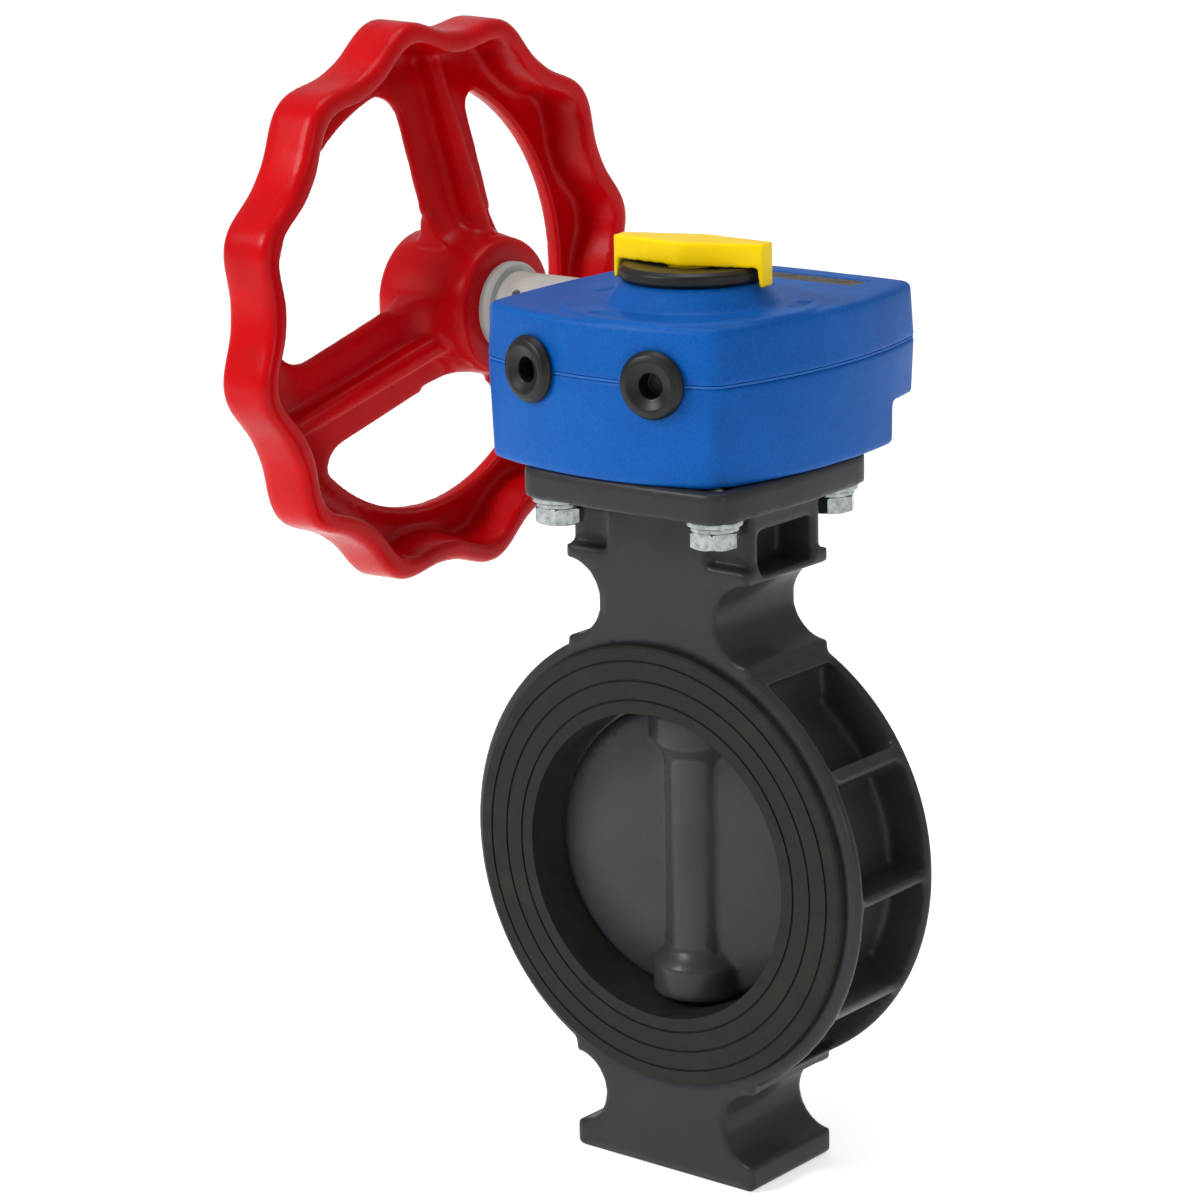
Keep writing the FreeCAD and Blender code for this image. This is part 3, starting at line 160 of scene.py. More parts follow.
class Recipe:
    """A material that is written node by node."""

    def __init__(self, name: str) -> None:
        """Start an empty material.

        Args:
            name: the material's name.
        """
        self.material = bpy.data.materials.new(name)
        self.material.use_nodes = True
        self.tree = self.material.node_tree
        self.tree.nodes.clear()

    def node(self, kind: str, settings: Optional[dict[str, Any]] = None,
             inputs: Optional[dict[Union[str, int], Any]] = None,
             output: Union[str, int] = 0) -> Optional[Value]:
        """Add a node, set its options, then fill or link its sockets.

        Args:
            kind: the node's type.
            settings: options such as an operation.
            inputs: values or links by socket name or number.
            output: the output socket that is wanted.

        Returns:
            That output, or None for a node that has none.
        """
        made = self.tree.nodes.new(kind)
        for name, setting in (settings or {}).items():
            setattr(made, name, setting)
        for key, given in (inputs or {}).items():
            socket = made.inputs[key]
            if isinstance(given, Value):
                self.tree.links.new(given.socket, socket)
            elif isinstance(given, tuple) and socket.type == "RGBA":
                socket.default_value = (*given, 1.0)
            else:
                socket.default_value = given
        return Value(self, made.outputs[output]) if made.outputs else None

    def place(self, scale: tuple[float, float, float] = (1.0, 1.0, 1.0)) -> Value:
        """Object coordinates in millimetres, stretched along each axis."""
        here = self.node("ShaderNodeTexCoord", output="Object")
        factors = tuple(s / MM for s in scale)
        return self.node("ShaderNodeMapping", {}, {"Vector": here, "Scale": factors})

    def height(self) -> Value:
        """Height in millimetres."""
        return self.node("ShaderNodeSeparateXYZ", {}, {"Vector": self.place()}, "Z")

    def noise(self, size: float, detail: float = 3.0, roughness: float = 0.5,
              stretch: tuple[float, float, float] = (1.0, 1.0, 1.0)) -> Value:
        """Cloudy noise around 0.5.

        Args:
            size: width of its spots in millimetres.
            detail: number of finer layers.
            roughness: strength of the finer layers.
            stretch: how much longer the spots are along each axis.

        Returns:
            The noise.
        """
        inputs = {"Vector": self.place(tuple(1.0 / s for s in stretch)), "Scale": 1.0 / size,
                  "Detail": detail, "Roughness": roughness}
        return self.node("ShaderNodeTexNoise", {"noise_dimensions": "3D"}, inputs)

    def cells(self, size: float) -> Value:
        """Distance to the nearest of scattered points, in cell widths."""
        inputs = {"Vector": self.place(), "Scale": 1.0 / size}
        return self.node("ShaderNodeTexVoronoi", {}, inputs, "Distance")

    def mix(self, share: Operand, low: Shade, high: Shade) -> Value:
        """Blend of two colours.

        Args:
            share: 0 gives the first colour and 1 the second.
            low: first colour.
            high: second colour.

        Returns:
            The blend.
        """
        factor, first, second, result = 0, 6, 7, 2
        settings = {"data_type": "RGBA", "clamp_factor": True}
        return self.node("ShaderNodeMix", settings, {factor: share, first: low, second: high}, result)

    def bump(self, height: Value, depth: float, under: Optional[Value] = None) -> Value:
        """Surface normal of a height between 0 and 1.

        Args:
            height: the height.
            depth: what 1 stands for, in millimetres.
            under: the normal of a coarser relief.

        Returns:
            The normal.
        """
        inputs = {"Height": height, "Distance": depth * MM, "Strength": 1.0}
        if under is not None:
            inputs["Normal"] = under
        return self.node("ShaderNodeBump", {}, inputs)

    def finish(self, **sockets: Any) -> bpy.types.Material:
        """Close the recipe with a Principled shader.

        Args:
            sockets: its inputs, with underscores for spaces.

        Returns:
            The finished material.
        """
        inputs = {name.replace("_", " "): given for name, given in sockets.items()}
        shader = self.node("ShaderNodeBsdfPrincipled", {}, inputs)
        self.node("ShaderNodeOutputMaterial", {}, {"Surface": shader})
        return self.material


@dataclass(frozen=True)
class Moulded:
    """Moulded plastic with flow marks, fine grain and faint scuffs."""

    name: str
    colour: Colour
    deep: Colour
    roughness: float = 0.4
    grain: float = 0.02
    grain_size: float = 0.9
    flow: float = 0.35
    scuffs: float = 0.3
    gleam: float = 0.3
    cloud_size: float = 26.0
    streak_size: float = 5.0
    streak_stretch: tuple[float, float, float] = (1.0, 1.0, 7.0)
    wave_size: float = 9.0
    wave_depth: float = 0.05

    def material(self) -> bpy.types.Material:
        """Write the material.

        Returns:
            Plastic whose tone follows slow clouds and whose gloss breaks up in small spots.
        """
        recipe = Recipe(self.name)
        clouds = recipe.noise(self.cloud_size, 4.0, 0.6).rising(0.3, 0.72)
        fine = recipe.noise(self.grain_size, 2.0, 0.6)
        streak = recipe.noise(self.streak_size, 5.0, 0.7, self.streak_stretch).rising(0.56, 0.74)
        tone = recipe.mix(clouds * self.flow + fine * 0.12, self.colour, self.deep)
        rough = clouds * 0.08 + streak * (0.22 * self.scuffs) + fine * 0.10 + (self.roughness - 0.10)
        waves = recipe.noise(self.wave_size, 2.0, 0.5)
        relief = recipe.bump(fine, self.grain, recipe.bump(waves, self.wave_depth))
        return recipe.finish(Base_Color=tone, Roughness=rough, Normal=relief,
                             Specular_IOR_Level=self.gleam)


@dataclass(frozen=True)
class CastPaint:
    """Stoved paint with a fine sandy texture on a casting."""

    name: str
    colour: Colour
    deep: Colour
    rubbed: Colour
    roughness: float = 0.42
    gleam: float = 0.12
    cloud_size: float = 34.0
    sand_size: float = 1.1
    pit_size: float = 1.7
    rub_size: float = 3.2
    wave_size: float = 12.0
    sand_depth: float = 0.13
    wave_depth: float = 0.08

    def material(self) -> bpy.types.Material:
        """Write the material.

        Returns:
            Paint with a sandy relief, painted shade in the sand's hollows, slow clouds and pale rubbed
            spots.
        """
        recipe = Recipe(self.name)
        clouds = recipe.noise(self.cloud_size, 4.0, 0.6).rising(0.32, 0.7)
        sand = recipe.noise(self.sand_size, 4.0, 0.7)
        pits = recipe.cells(self.pit_size).rising(0.02, 0.34)
        rubs = recipe.noise(self.rub_size, 6.0, 0.75).rising(0.64, 0.8)
        # Painted shade: where the sand relief is low, the tone is darkened towards the deep colour.
        painted_hollow_shade = 1.0 - sand.rising(0.38, 0.62)
        tone = recipe.mix(clouds * 0.4 + painted_hollow_shade * 0.45, self.colour, self.deep)
        pale = recipe.mix(rubs * 0.14, tone, self.rubbed)
        rough = self.roughness + clouds * 0.06 + sand * 0.12 + rubs * 0.1 - 0.08
        waves = recipe.bump(recipe.noise(self.wave_size, 2.0), self.wave_depth)
        relief = recipe.bump(sand * 0.7 + pits * 0.3, self.sand_depth, waves)
        return recipe.finish(Base_Color=pale, Roughness=rough, Normal=relief,
                             Specular_IOR_Level=self.gleam)


@dataclass(frozen=True)
class JointLine:
    """Painted seam filled unevenly, so that it shows as a thin dark line."""

    name: str
    colour: Colour
    dark: Colour
    seam_z: float = 190.0
    wander_size: float = 9.0
    width_size: float = 3.0
    line_edge: float = 0.14
    line_share: float = 0.45
    line_depth: float = 0.12
    gleam: float = 0.25

    def material(self) -> bpy.types.Material:
        """Write the material.

        Returns:
            Paint colour with a dark line whose width and height wander.
        """
        recipe = Recipe(self.name)
        height = recipe.height()
        wander = (recipe.noise(self.wander_size, 3.0, 0.6) - 0.5) * 0.5
        width = recipe.noise(self.width_size, 3.0, 0.7) * 0.3 - 0.06
        away = abs(height - self.seam_z - wander)
        line = (1.0 - (away - width).rising(0.0, self.line_edge)) * self.line_share
        tone = recipe.mix(line, self.colour, self.dark)
        return recipe.finish(Base_Color=tone, Roughness=0.6 + line * 0.2,
                             Normal=recipe.bump(1.0 - line, self.line_depth),
                             Specular_IOR_Level=self.gleam)


@dataclass(frozen=True)
class Rubber:
    """Matt rubber with pale bloom and fine rubbed streaks."""

    name: str
    colour: Colour
    bloom: Colour
    roughness: float = 0.6
    bloom_share: float = 0.4
    grain: float = 0.03
    gleam: float = 0.3
    patch_size: float = 18.0
    streak_size: float = 3.0
    streak_stretch: tuple[float, float, float] = (5.0, 1.0, 1.0)
    grain_size: float = 0.6
    wave_size: float = 6.0
    wave_depth: float = 0.05

    def material(self) -> bpy.types.Material:
        """Write the material.

        Returns:
            Rubber whose bloom lies in soft patches and thin streaks.
        """
        recipe = Recipe(self.name)
        patches = recipe.noise(self.patch_size, 5.0, 0.65).rising(0.42, 0.72)
        streaks = recipe.noise(self.streak_size, 5.0, 0.75, self.streak_stretch).rising(0.55, 0.75)
        fine = recipe.noise(self.grain_size, 3.0, 0.6)
        share = patches * self.bloom_share + streaks * (self.bloom_share * 0.5) + fine * 0.1
        tone = recipe.mix(share, self.colour, self.bloom)
        rough = self.roughness + patches * 0.12 - streaks * 0.08 + fine * 0.08
        waves = recipe.bump(recipe.noise(self.wave_size, 3.0), self.wave_depth)
        relief = recipe.bump(fine, self.grain, waves)
        return recipe.finish(Base_Color=tone, Roughness=rough, Normal=relief,
                             Specular_IOR_Level=self.gleam)


@dataclass(frozen=True)
class Metal:
    """Bare or plated metal with stains and fine tool marks."""

    name: str
    colour: Colour
    stain: Colour
    roughness: float = 0.3
    marks: tuple[float, float, float] = (1.0, 1.0, 1.0)
    mark_depth: float = 0.01
    stains: float = 0.35
    stain_size: float = 3.5
    mark_size: float = 0.5

    def material(self) -> bpy.types.Material:
        """Write the material.

        Returns:
            Metal with cloudy stains and short marks along one direction.
        """
        recipe = Recipe(self.name)
        clouds = recipe.noise(self.stain_size, 5.0, 0.7).rising(0.35, 0.7)
        lines = recipe.noise(self.mark_size, 3.0, 0.6, self.marks)
        tone = recipe.mix(clouds * self.stains, self.colour, self.stain)
        rough = self.roughness + clouds * 0.14 + lines * 0.1 - 0.06
        return recipe.finish(Base_Color=tone, Metallic=1.0, Roughness=rough,
                             Normal=recipe.bump(lines, self.mark_depth))


@dataclass(frozen=True)
class Coating:
    """Thin grey coating over metal with chips that show primer."""

    name: str
    colour: Colour
    chip: Colour
    roughness: float = 0.48
    cloud_size: float = 11.0
    grain_size: float = 0.7
    chip_size: float = 2.4
    depth: float = 0.03

    def material(self) -> bpy.types.Material:
        """Write the material.

        Returns:
            Coating with dust, soft clouds and a few chips.
        """
        recipe = Recipe(self.name)
        clouds = recipe.noise(self.cloud_size, 4.0, 0.6).rising(0.3, 0.75)
        fine = recipe.noise(self.grain_size, 3.0, 0.6)
        chips = recipe.noise(self.chip_size, 6.0, 0.8).rising(0.7, 0.76)
        tone = recipe.mix(clouds * 0.35 + chips * 0.6, self.colour, self.chip)
        relief = recipe.bump(fine * 0.5 + (1.0 - chips), self.depth)
        return recipe.finish(Base_Color=tone, Roughness=self.roughness + fine * 0.1, Normal=relief)


class Finishes:
    """All finishes of the valve, each made once."""

    def __init__(self) -> None:
        """Write every material."""
        self.body = Moulded("dark grey plastic", srgb(47, 47, 50), srgb(38, 38, 41), roughness=0.36,
                            grain=0.03, grain_size=0.8, flow=0.5, scuffs=0.6, gleam=0.16).material()
        self.disc = Moulded("grey disc plastic", srgb(56, 57, 60), srgb(46, 47, 50), roughness=0.32,
                            grain=0.02, grain_size=0.8, flow=0.5, scuffs=0.5, gleam=0.2).material()
        self.wheel = Moulded("red plastic", srgb(188, 0, 8), srgb(150, 0, 5), roughness=0.3,
                             grain=0.03, grain_size=1.1, flow=0.5, scuffs=0.7, gleam=0.11).material()
        self.pointer = Moulded("yellow plastic", srgb(244, 208, 0), srgb(234, 190, 0), roughness=0.34,
                               grain=0.015, grain_size=1.0, flow=0.4, scuffs=0.3, gleam=0.11).material()
        self.paint = CastPaint("blue casting paint", srgb(0, 86, 167), srgb(0, 68, 139),
                               srgb(96, 138, 196)).material()
        # The joint's blue is painted lighter than the case paint: painted light that offsets the shade
        # in the recessed joint.
        self.seam = JointLine("blue joint line", srgb(14, 100, 186), srgb(58, 50, 52)).material()
        self.liner = Rubber("liner rubber", srgb(32, 31, 29), srgb(56, 52, 44), roughness=0.58,
                            bloom_share=0.35, grain=0.03, gleam=0.14).material()
        self.soft_black = Rubber("black rubber", srgb(12, 12, 13), srgb(30, 30, 31), roughness=0.34,
                                 bloom_share=0.22, grain=0.015, gleam=0.28).material()
        self.cap = Moulded("black cap plastic", srgb(20, 21, 23), srgb(14, 15, 17), 0.36).material()
        self.zinc = Metal("zinc plate", srgb(158, 163, 164), srgb(88, 93, 91), roughness=0.2,
                          marks=(1.0, 1.0, 5.0), stains=0.6).material()
        self.steel = Metal("ground steel", srgb(176, 178, 182), srgb(132, 130, 126),
                           marks=(6.0, 1.0, 1.0)).material()
        self.bronze = Metal("bearing bronze", srgb(196, 150, 84), srgb(140, 100, 58), 0.34).material()
        self.iron = Metal("cut iron", srgb(104, 106, 110), srgb(70, 70, 72), roughness=0.45,
                          marks=(1.0, 1.0, 4.0), mark_depth=0.03).material()
        self.coating = Coating("light grey coating", srgb(176, 175, 170),
                               srgb(126, 122, 112)).material()
        self.plate = Metal("blank plate", srgb(104, 96, 82), srgb(64, 58, 50), roughness=0.42,
                           marks=(8.0, 1.0, 1.0), stains=0.7).material()


def outward(points: np.ndarray, faces: np.ndarray) -> np.ndarray:
    """Turn the faces of a closed mesh outwards.

    The sum over the faces of the dot of their centre with their area vector is three times the
    volume, and it is negative when the faces point inwards.

    Args:
        points: vertex positions, one row each.
        faces: four vertex numbers per row.

    Returns:
        The faces, reversed where that was needed.
    """
    a, b, c, d = (points[faces[:, corner]] for corner in range(4))
    volume = np.einsum("ij,ij->", (a + b + c + d) / 4, np.cross(c - a, d - b) / 2)
    return faces[:, ::-1] if volume < 0 else faces


def grid_faces(rows: int, columns: int, wrap_rows: bool, wrap_columns: bool) -> np.ndarray:
    """Vertex numbers of the quads of a grid.

    Args:
        rows: points along the first parameter.
        columns: points along the second parameter.
        wrap_rows: whether the last row joins the first.
        wrap_columns: whether the last column joins the first.

    Returns:
        One row of four numbers for each quad.
    """
    row, column = np.meshgrid(np.arange(rows if wrap_rows else rows - 1),
                              np.arange(columns if wrap_columns else columns - 1), indexing="ij")
    here, below = row * columns, (row + 1) % rows * columns
    beside = (column + 1) % columns
    quads = np.stack([here + column, below + column, below + beside, here + beside], -1)
    return quads.reshape(-1, 4)


def mesh_object(name: str, points: np.ndarray, quads: np.ndarray,
                caps: Sequence[np.ndarray] = ()) -> bpy.types.Object:
    """Object from points in millimetres and quads, welded at its poles.

    A quad with two corners at a pole becomes a triangle, and one with more than two there is left out.

    Args:
        name: name of the piece.
        points: vertex positions, one row each.
        quads: four vertex numbers per row.
        caps: vertex numbers of the faces that close its ends.

    Returns:
        The object, at the origin.
    """
    unique, number = np.unique(np.round(points, 5), axis=0, return_inverse=True)
    number = number.reshape(-1)
    corners = number[quads]
    same = corners == np.roll(corners, -1, 1)
    pinched = same.sum(1) == 1
    triangles = corners[pinched][~same[pinched]].reshape(-1, 3)
    ends = [number[cap].tolist() for cap in caps]
    mesh = bpy.data.meshes.new(name)
    faces = corners[~same.any(1)].tolist() + triangles.tolist() + ends
    mesh.from_pydata((unique * MM).tolist(), [], faces)
    mesh.validate()
    mesh.shade_smooth()
    made = bpy.data.objects.new(name, mesh)
    bpy.context.scene.collection.objects.link(made)
    return made


def filleted(corners: Sequence[tuple[float, float, float]], steps: int = 6) -> np.ndarray:
    """Closed outline with rounded corners.

    Each corner is given as two coordinates and a radius. Its arc starts one tangent length, radius
    over the tangent of half the corner's angle, away from the corner on each side.

    Args:
        corners: the corners in order.
        steps: points on each arc.

    Returns:
        The outline, one row for each point.
    """
    table = np.array(corners, float)
    point, radius = table[:, :2], table[:, 2:]
    back = np.roll(point, 1, 0) - point
    ahead = np.roll(point, -1, 0) - point
    back /= np.linalg.norm(back, axis=1, keepdims=True)
    ahead /= np.linalg.norm(ahead, axis=1, keepdims=True)
    half = np.arccos(np.clip((back * ahead).sum(1, keepdims=True), -1, 1)) / 2
    middle = back + ahead
    middle /= np.linalg.norm(middle, axis=1, keepdims=True)
    centre = point + middle * radius / np.sin(half)
    start = point + back * radius / np.tan(half) - centre
    end = point + ahead * radius / np.tan(half) - centre
    first = np.arctan2(start[:, 1], start[:, 0])
    turn = (np.arctan2(end[:, 1], end[:, 0]) - first + np.pi) % (2 * np.pi) - np.pi
    angle = first[:, None] + turn[:, None] * np.linspace(0, 1, steps)[None, :]
    arcs = centre[:, None, :] + radius[:, None, :] * np.stack([np.cos(angle), np.sin(angle)], -1)
    return arcs.reshape(-1, 2)


def box(node: str) -> tuple[np.ndarray, np.ndarray]:
    """Lowest and highest corner of a node in millimetres."""
    low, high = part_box(node)
    return np.array(low) / MM, np.array(high) / MM


def turned(name: str, outline: np.ndarray, centre: Sequence[float], axis: Sequence[float],
           steps: int = 96) -> bpy.types.Object:
    """Solid of revolution.

    Each outline point (a, r) goes to centre + a * axis + r * (cos t * side + sin t * up), for t
    all round.

    Args:
        name: name of the piece.
        outline: closed outline as distance along the axis and radius.
        centre: origin of the axis in millimetres.
        axis: its direction.
        steps: points round the circle.

    Returns:
        The object.
    """
    along = np.array(Vector(axis).normalized())
    side = np.cross(along, (Axis.Z if abs(along[2]) < 0.9 else Axis.X).value)
    side /= np.linalg.norm(side)
    up = np.cross(along, side)
    turn = np.linspace(0, 2 * np.pi, steps, endpoint=False)
    ring = np.cos(turn)[:, None] * side + np.sin(turn)[:, None] * up
    points = np.array(centre) + outline[:, :1, None] * along + outline[:, 1:, None] * ring[None]
    flat = points.reshape(-1, 3)
    return mesh_object(name, flat, outward(flat, grid_faces(len(outline), steps, True, True)))


class Moulding:
    """A closed surface that is moved in and out by level sets, as polygons in millimetres."""

    def __init__(self, points: np.ndarray, triangles: np.ndarray, quads: np.ndarray,
                 pitch: float) -> None:
        """Keep the polygons.

        Args:
            points: vertex positions.
            triangles: three vertex numbers per row.
            quads: four vertex numbers per row.
            pitch: grid spacing of its level sets.
        """
        self.points = points.astype(np.float32)
        self.triangles = triangles.astype(np.uint32)
        self.quads = quads.astype(np.uint32)
        self.pitch = pitch

    @classmethod
    def of_node(cls, node: str, pitch: float) -> "Moulding":
        """Surface of a node of the frame, with its loose triangles welded.

        Args:
            node: name of the node.
            pitch: grid spacing in millimetres.

        Returns:
            The moulding.
        """
        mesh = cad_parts[node].data
        mesh.calc_loop_triangles()
        points = np.empty(len(mesh.vertices) * 3, np.float32)
        mesh.vertices.foreach_get("co", points)
        corners = np.empty(len(mesh.loop_triangles) * 3, np.int32)
        mesh.loop_triangles.foreach_get("vertices", corners)
        rounded = np.round(points.reshape(-1, 3) / MM, 4)
        unique, number = np.unique(rounded, axis=0, return_inverse=True)
        triangles = number.reshape(-1)[corners].reshape(-1, 3)
        return cls(unique, triangles, np.empty((0, 4), int), pitch)

    def distances(self, reach: float) -> Any:
        """Level set of the surface.

        Args:
            reach: how far from the surface distances are kept, in millimetres.

        Returns:
            The grid of distances, negative inside.
        """
        lists = {}
        if len(self.triangles):
            lists["triangles"] = self.triangles
        if len(self.quads):
            lists["quads"] = self.quads
        return openvdb.FloatGrid.createLevelSetFromPolygons(
            self.points, transform=openvdb.createLinearTransform(self.pitch),
            halfWidth=reach / self.pitch + 3, **lists)

    @staticmethod
    def values(grid: Any) -> tuple[np.ndarray, list[int]]:
        """Distances of a level set as an array.

        Args:
            grid: the level set.

        Returns:
            The distances, and the number of the first cell along each axis.
        """
        low, high = (np.array(corner) for corner in grid.evalActiveVoxelBoundingBox())
        values = np.empty(tuple(high - low + 1), np.float32)
        start = low.tolist()
        grid.copyToArray(values, ijk=tuple(start))
        return values, start

    def moved(self, distance: float, simplify: float = 0.0) -> "Moulding":
        """Surface at a distance outside this one.

        Args:
            distance: how far out, or in where it is negative.
            simplify: how freely flat areas use larger faces.

        Returns:
            The new surface.
        """
        polygons = self.distances(abs(distance)).convertToPolygons(distance, simplify)
        return Moulding(*polygons, self.pitch)

    def carved(self, removed: Distance) -> "Moulding":
        """Take away a space.

        The new distance is the larger of the old one and the space's own with its sign turned.

        Args:
            removed: distance to the space at x, y and z, negative inside it.

        Returns:
            The surface of what is left.
        """
        grid = self.distances(4 * self.pitch)
        values, low = self.values(grid)
        lines = ((start + np.arange(count)) * self.pitch for start, count in zip(low, values.shape))
        x, y, z = np.meshgrid(*lines, indexing="ij", sparse=True)
        kept = np.maximum(values, -removed(x, y, z)).astype(np.float32)
        grid.copyFromArray(kept, ijk=tuple(low))
        return Moulding(*grid.convertToPolygons(0.0, 0.0), self.pitch)

    def softened(self, edge: float, corner: float, simplify: float) -> "Moulding":
        """Round the corners and edges with a rolling ball.

        Moving out and back in fills inside corners to one radius, and moving in and back out rounds
        outside edges to the other.

        Args:
            edge: radius of outside edges.
            corner: radius of inside corners.
            simplify: how freely flat areas use larger faces.

        Returns:
            The rounded surface.
        """
        return self.moved(corner).moved(-corner - edge).moved(edge, simplify)

    def normals(self) -> np.ndarray:
        """Unit gradient of the distances at every point, read between the grid's cells.

        Returns:
            One outward direction per point.
        """
        values, low = self.values(self.distances(2 * self.pitch))
        for axis in range(3):
            neighbours = np.roll(values, 1, axis) + np.roll(values, -1, axis)
            values = (neighbours + 2 * values) / 4
        slope = np.stack(np.gradient(values), -1)
        spot = self.points / self.pitch - low
        cell = np.floor(spot).astype(int)
        share = spot - cell
        total = np.zeros_like(spot)
        for step in np.ndindex(2, 2, 2):
            weight = np.prod(np.where(step, share, 1 - share), 1)
            at = np.clip(cell + step, 0, np.array(values.shape) - 1)
            total += weight[:, None] * slope[at[:, 0], at[:, 1], at[:, 2]]
        return total / np.maximum(np.linalg.norm(total, axis=1, keepdims=True), 1e-9)

    def piece(self, name: str) -> bpy.types.Object:
        """Object with faces outwards and smooth shading from the distances.

        Args:
            name: name of the piece.

        Returns:
            The object.
        """
        mesh = bpy.data.meshes.new(name)
        faces = self.triangles[:, ::-1].tolist() + self.quads[:, ::-1].tolist()
        mesh.from_pydata((self.points * MM).tolist(), [], faces)
        mesh.shade_smooth()
        mesh.normals_split_custom_set_from_vertices(self.normals().tolist())
        made = bpy.data.objects.new(name, mesh)
        bpy.context.scene.collection.objects.link(made)
        return made


@dataclass
class Assembly:
    """Base of the sub-assemblies: dresses pieces and reports them."""

    finishes: Finishes

    def add(self, piece: bpy.types.Object, body: Body, slot: str, material: bpy.types.Material,
            node: str) -> None:
        """Dress a new piece and set it on its body.

        Args:
            piece: the new object.
            body: the body that it rides on.
            slot: the record's material slot; not used.
            material: its finish.
            node: the node that it stands for.
        """
        piece.data.materials.clear()
        piece.data.materials.append(material)
        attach(piece, body.value)
        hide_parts(node)
        LOG.info("%s: %d faces on %s", piece.name, len(piece.data.polygons), body.value)

    def dress(self, material: bpy.types.Material, *nodes: str) -> None:
        """Give nodes of the frame a finish.

        Args:
            material: the finish.
            nodes: names of the nodes.
        """
        for node in nodes:
            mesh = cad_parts[node].data
            mesh.materials.clear()
            mesh.materials.append(material)
            LOG.info("%s: dressed", node)


@dataclass
class Softening:
    """How strongly a moulded or cast node is rounded, in millimetres."""

    node: str
    pitch: float
    edge: float
    corner: float
    simplify: float = 0.04

    def piece(self, removed: Optional[Distance] = None) -> bpy.types.Object:
        """Rounded copy of the node.

        Args:
            removed: distance to a space that is taken away first.

        Returns:
            The new piece.
        """
        moulding = Moulding.of_node(self.node, self.pitch)
        if removed is not None:
            moulding = moulding.carved(removed)
        softened = moulding.softened(self.edge, self.corner, self.simplify)
        return softened.piece(self.node + "_soft")


def softening(node: str, pitch: float, edge: float, corner: float) -> Any:
    """Dataclass field that holds a softening."""
    return field(default_factory=lambda: Softening(node, pitch, edge, corner))


@dataclass
class ValveBody(Assembly):
    """Plastic body, rubber liner, disc and stem with their inner pieces."""

    body: Softening = softening("valve_body", pitch=0.8, edge=0.6, corner=1.0)
    disc: Softening = softening("disc", pitch=0.6, edge=0.5, corner=0.8)

    def build(self) -> None:
        """Make and dress every piece of the valve below the gearbox."""
        finishes = self.finishes
        self.add(self.body.piece(), Body.VALVE, "body_plastic", finishes.body, self.body.node)
        self.add(self.disc.piece(), Body.STEM, "body_plastic", finishes.disc, self.disc.node)
        self.dress(finishes.liner, "seat_liner")
        self.dress(finishes.steel, "stem", "snap_ring")
        self.dress(finishes.bronze, "upper_bushing", "gland_bushing", "lower_bushing")
        self.dress(finishes.soft_black, "stem_seal_1", "stem_seal_2")


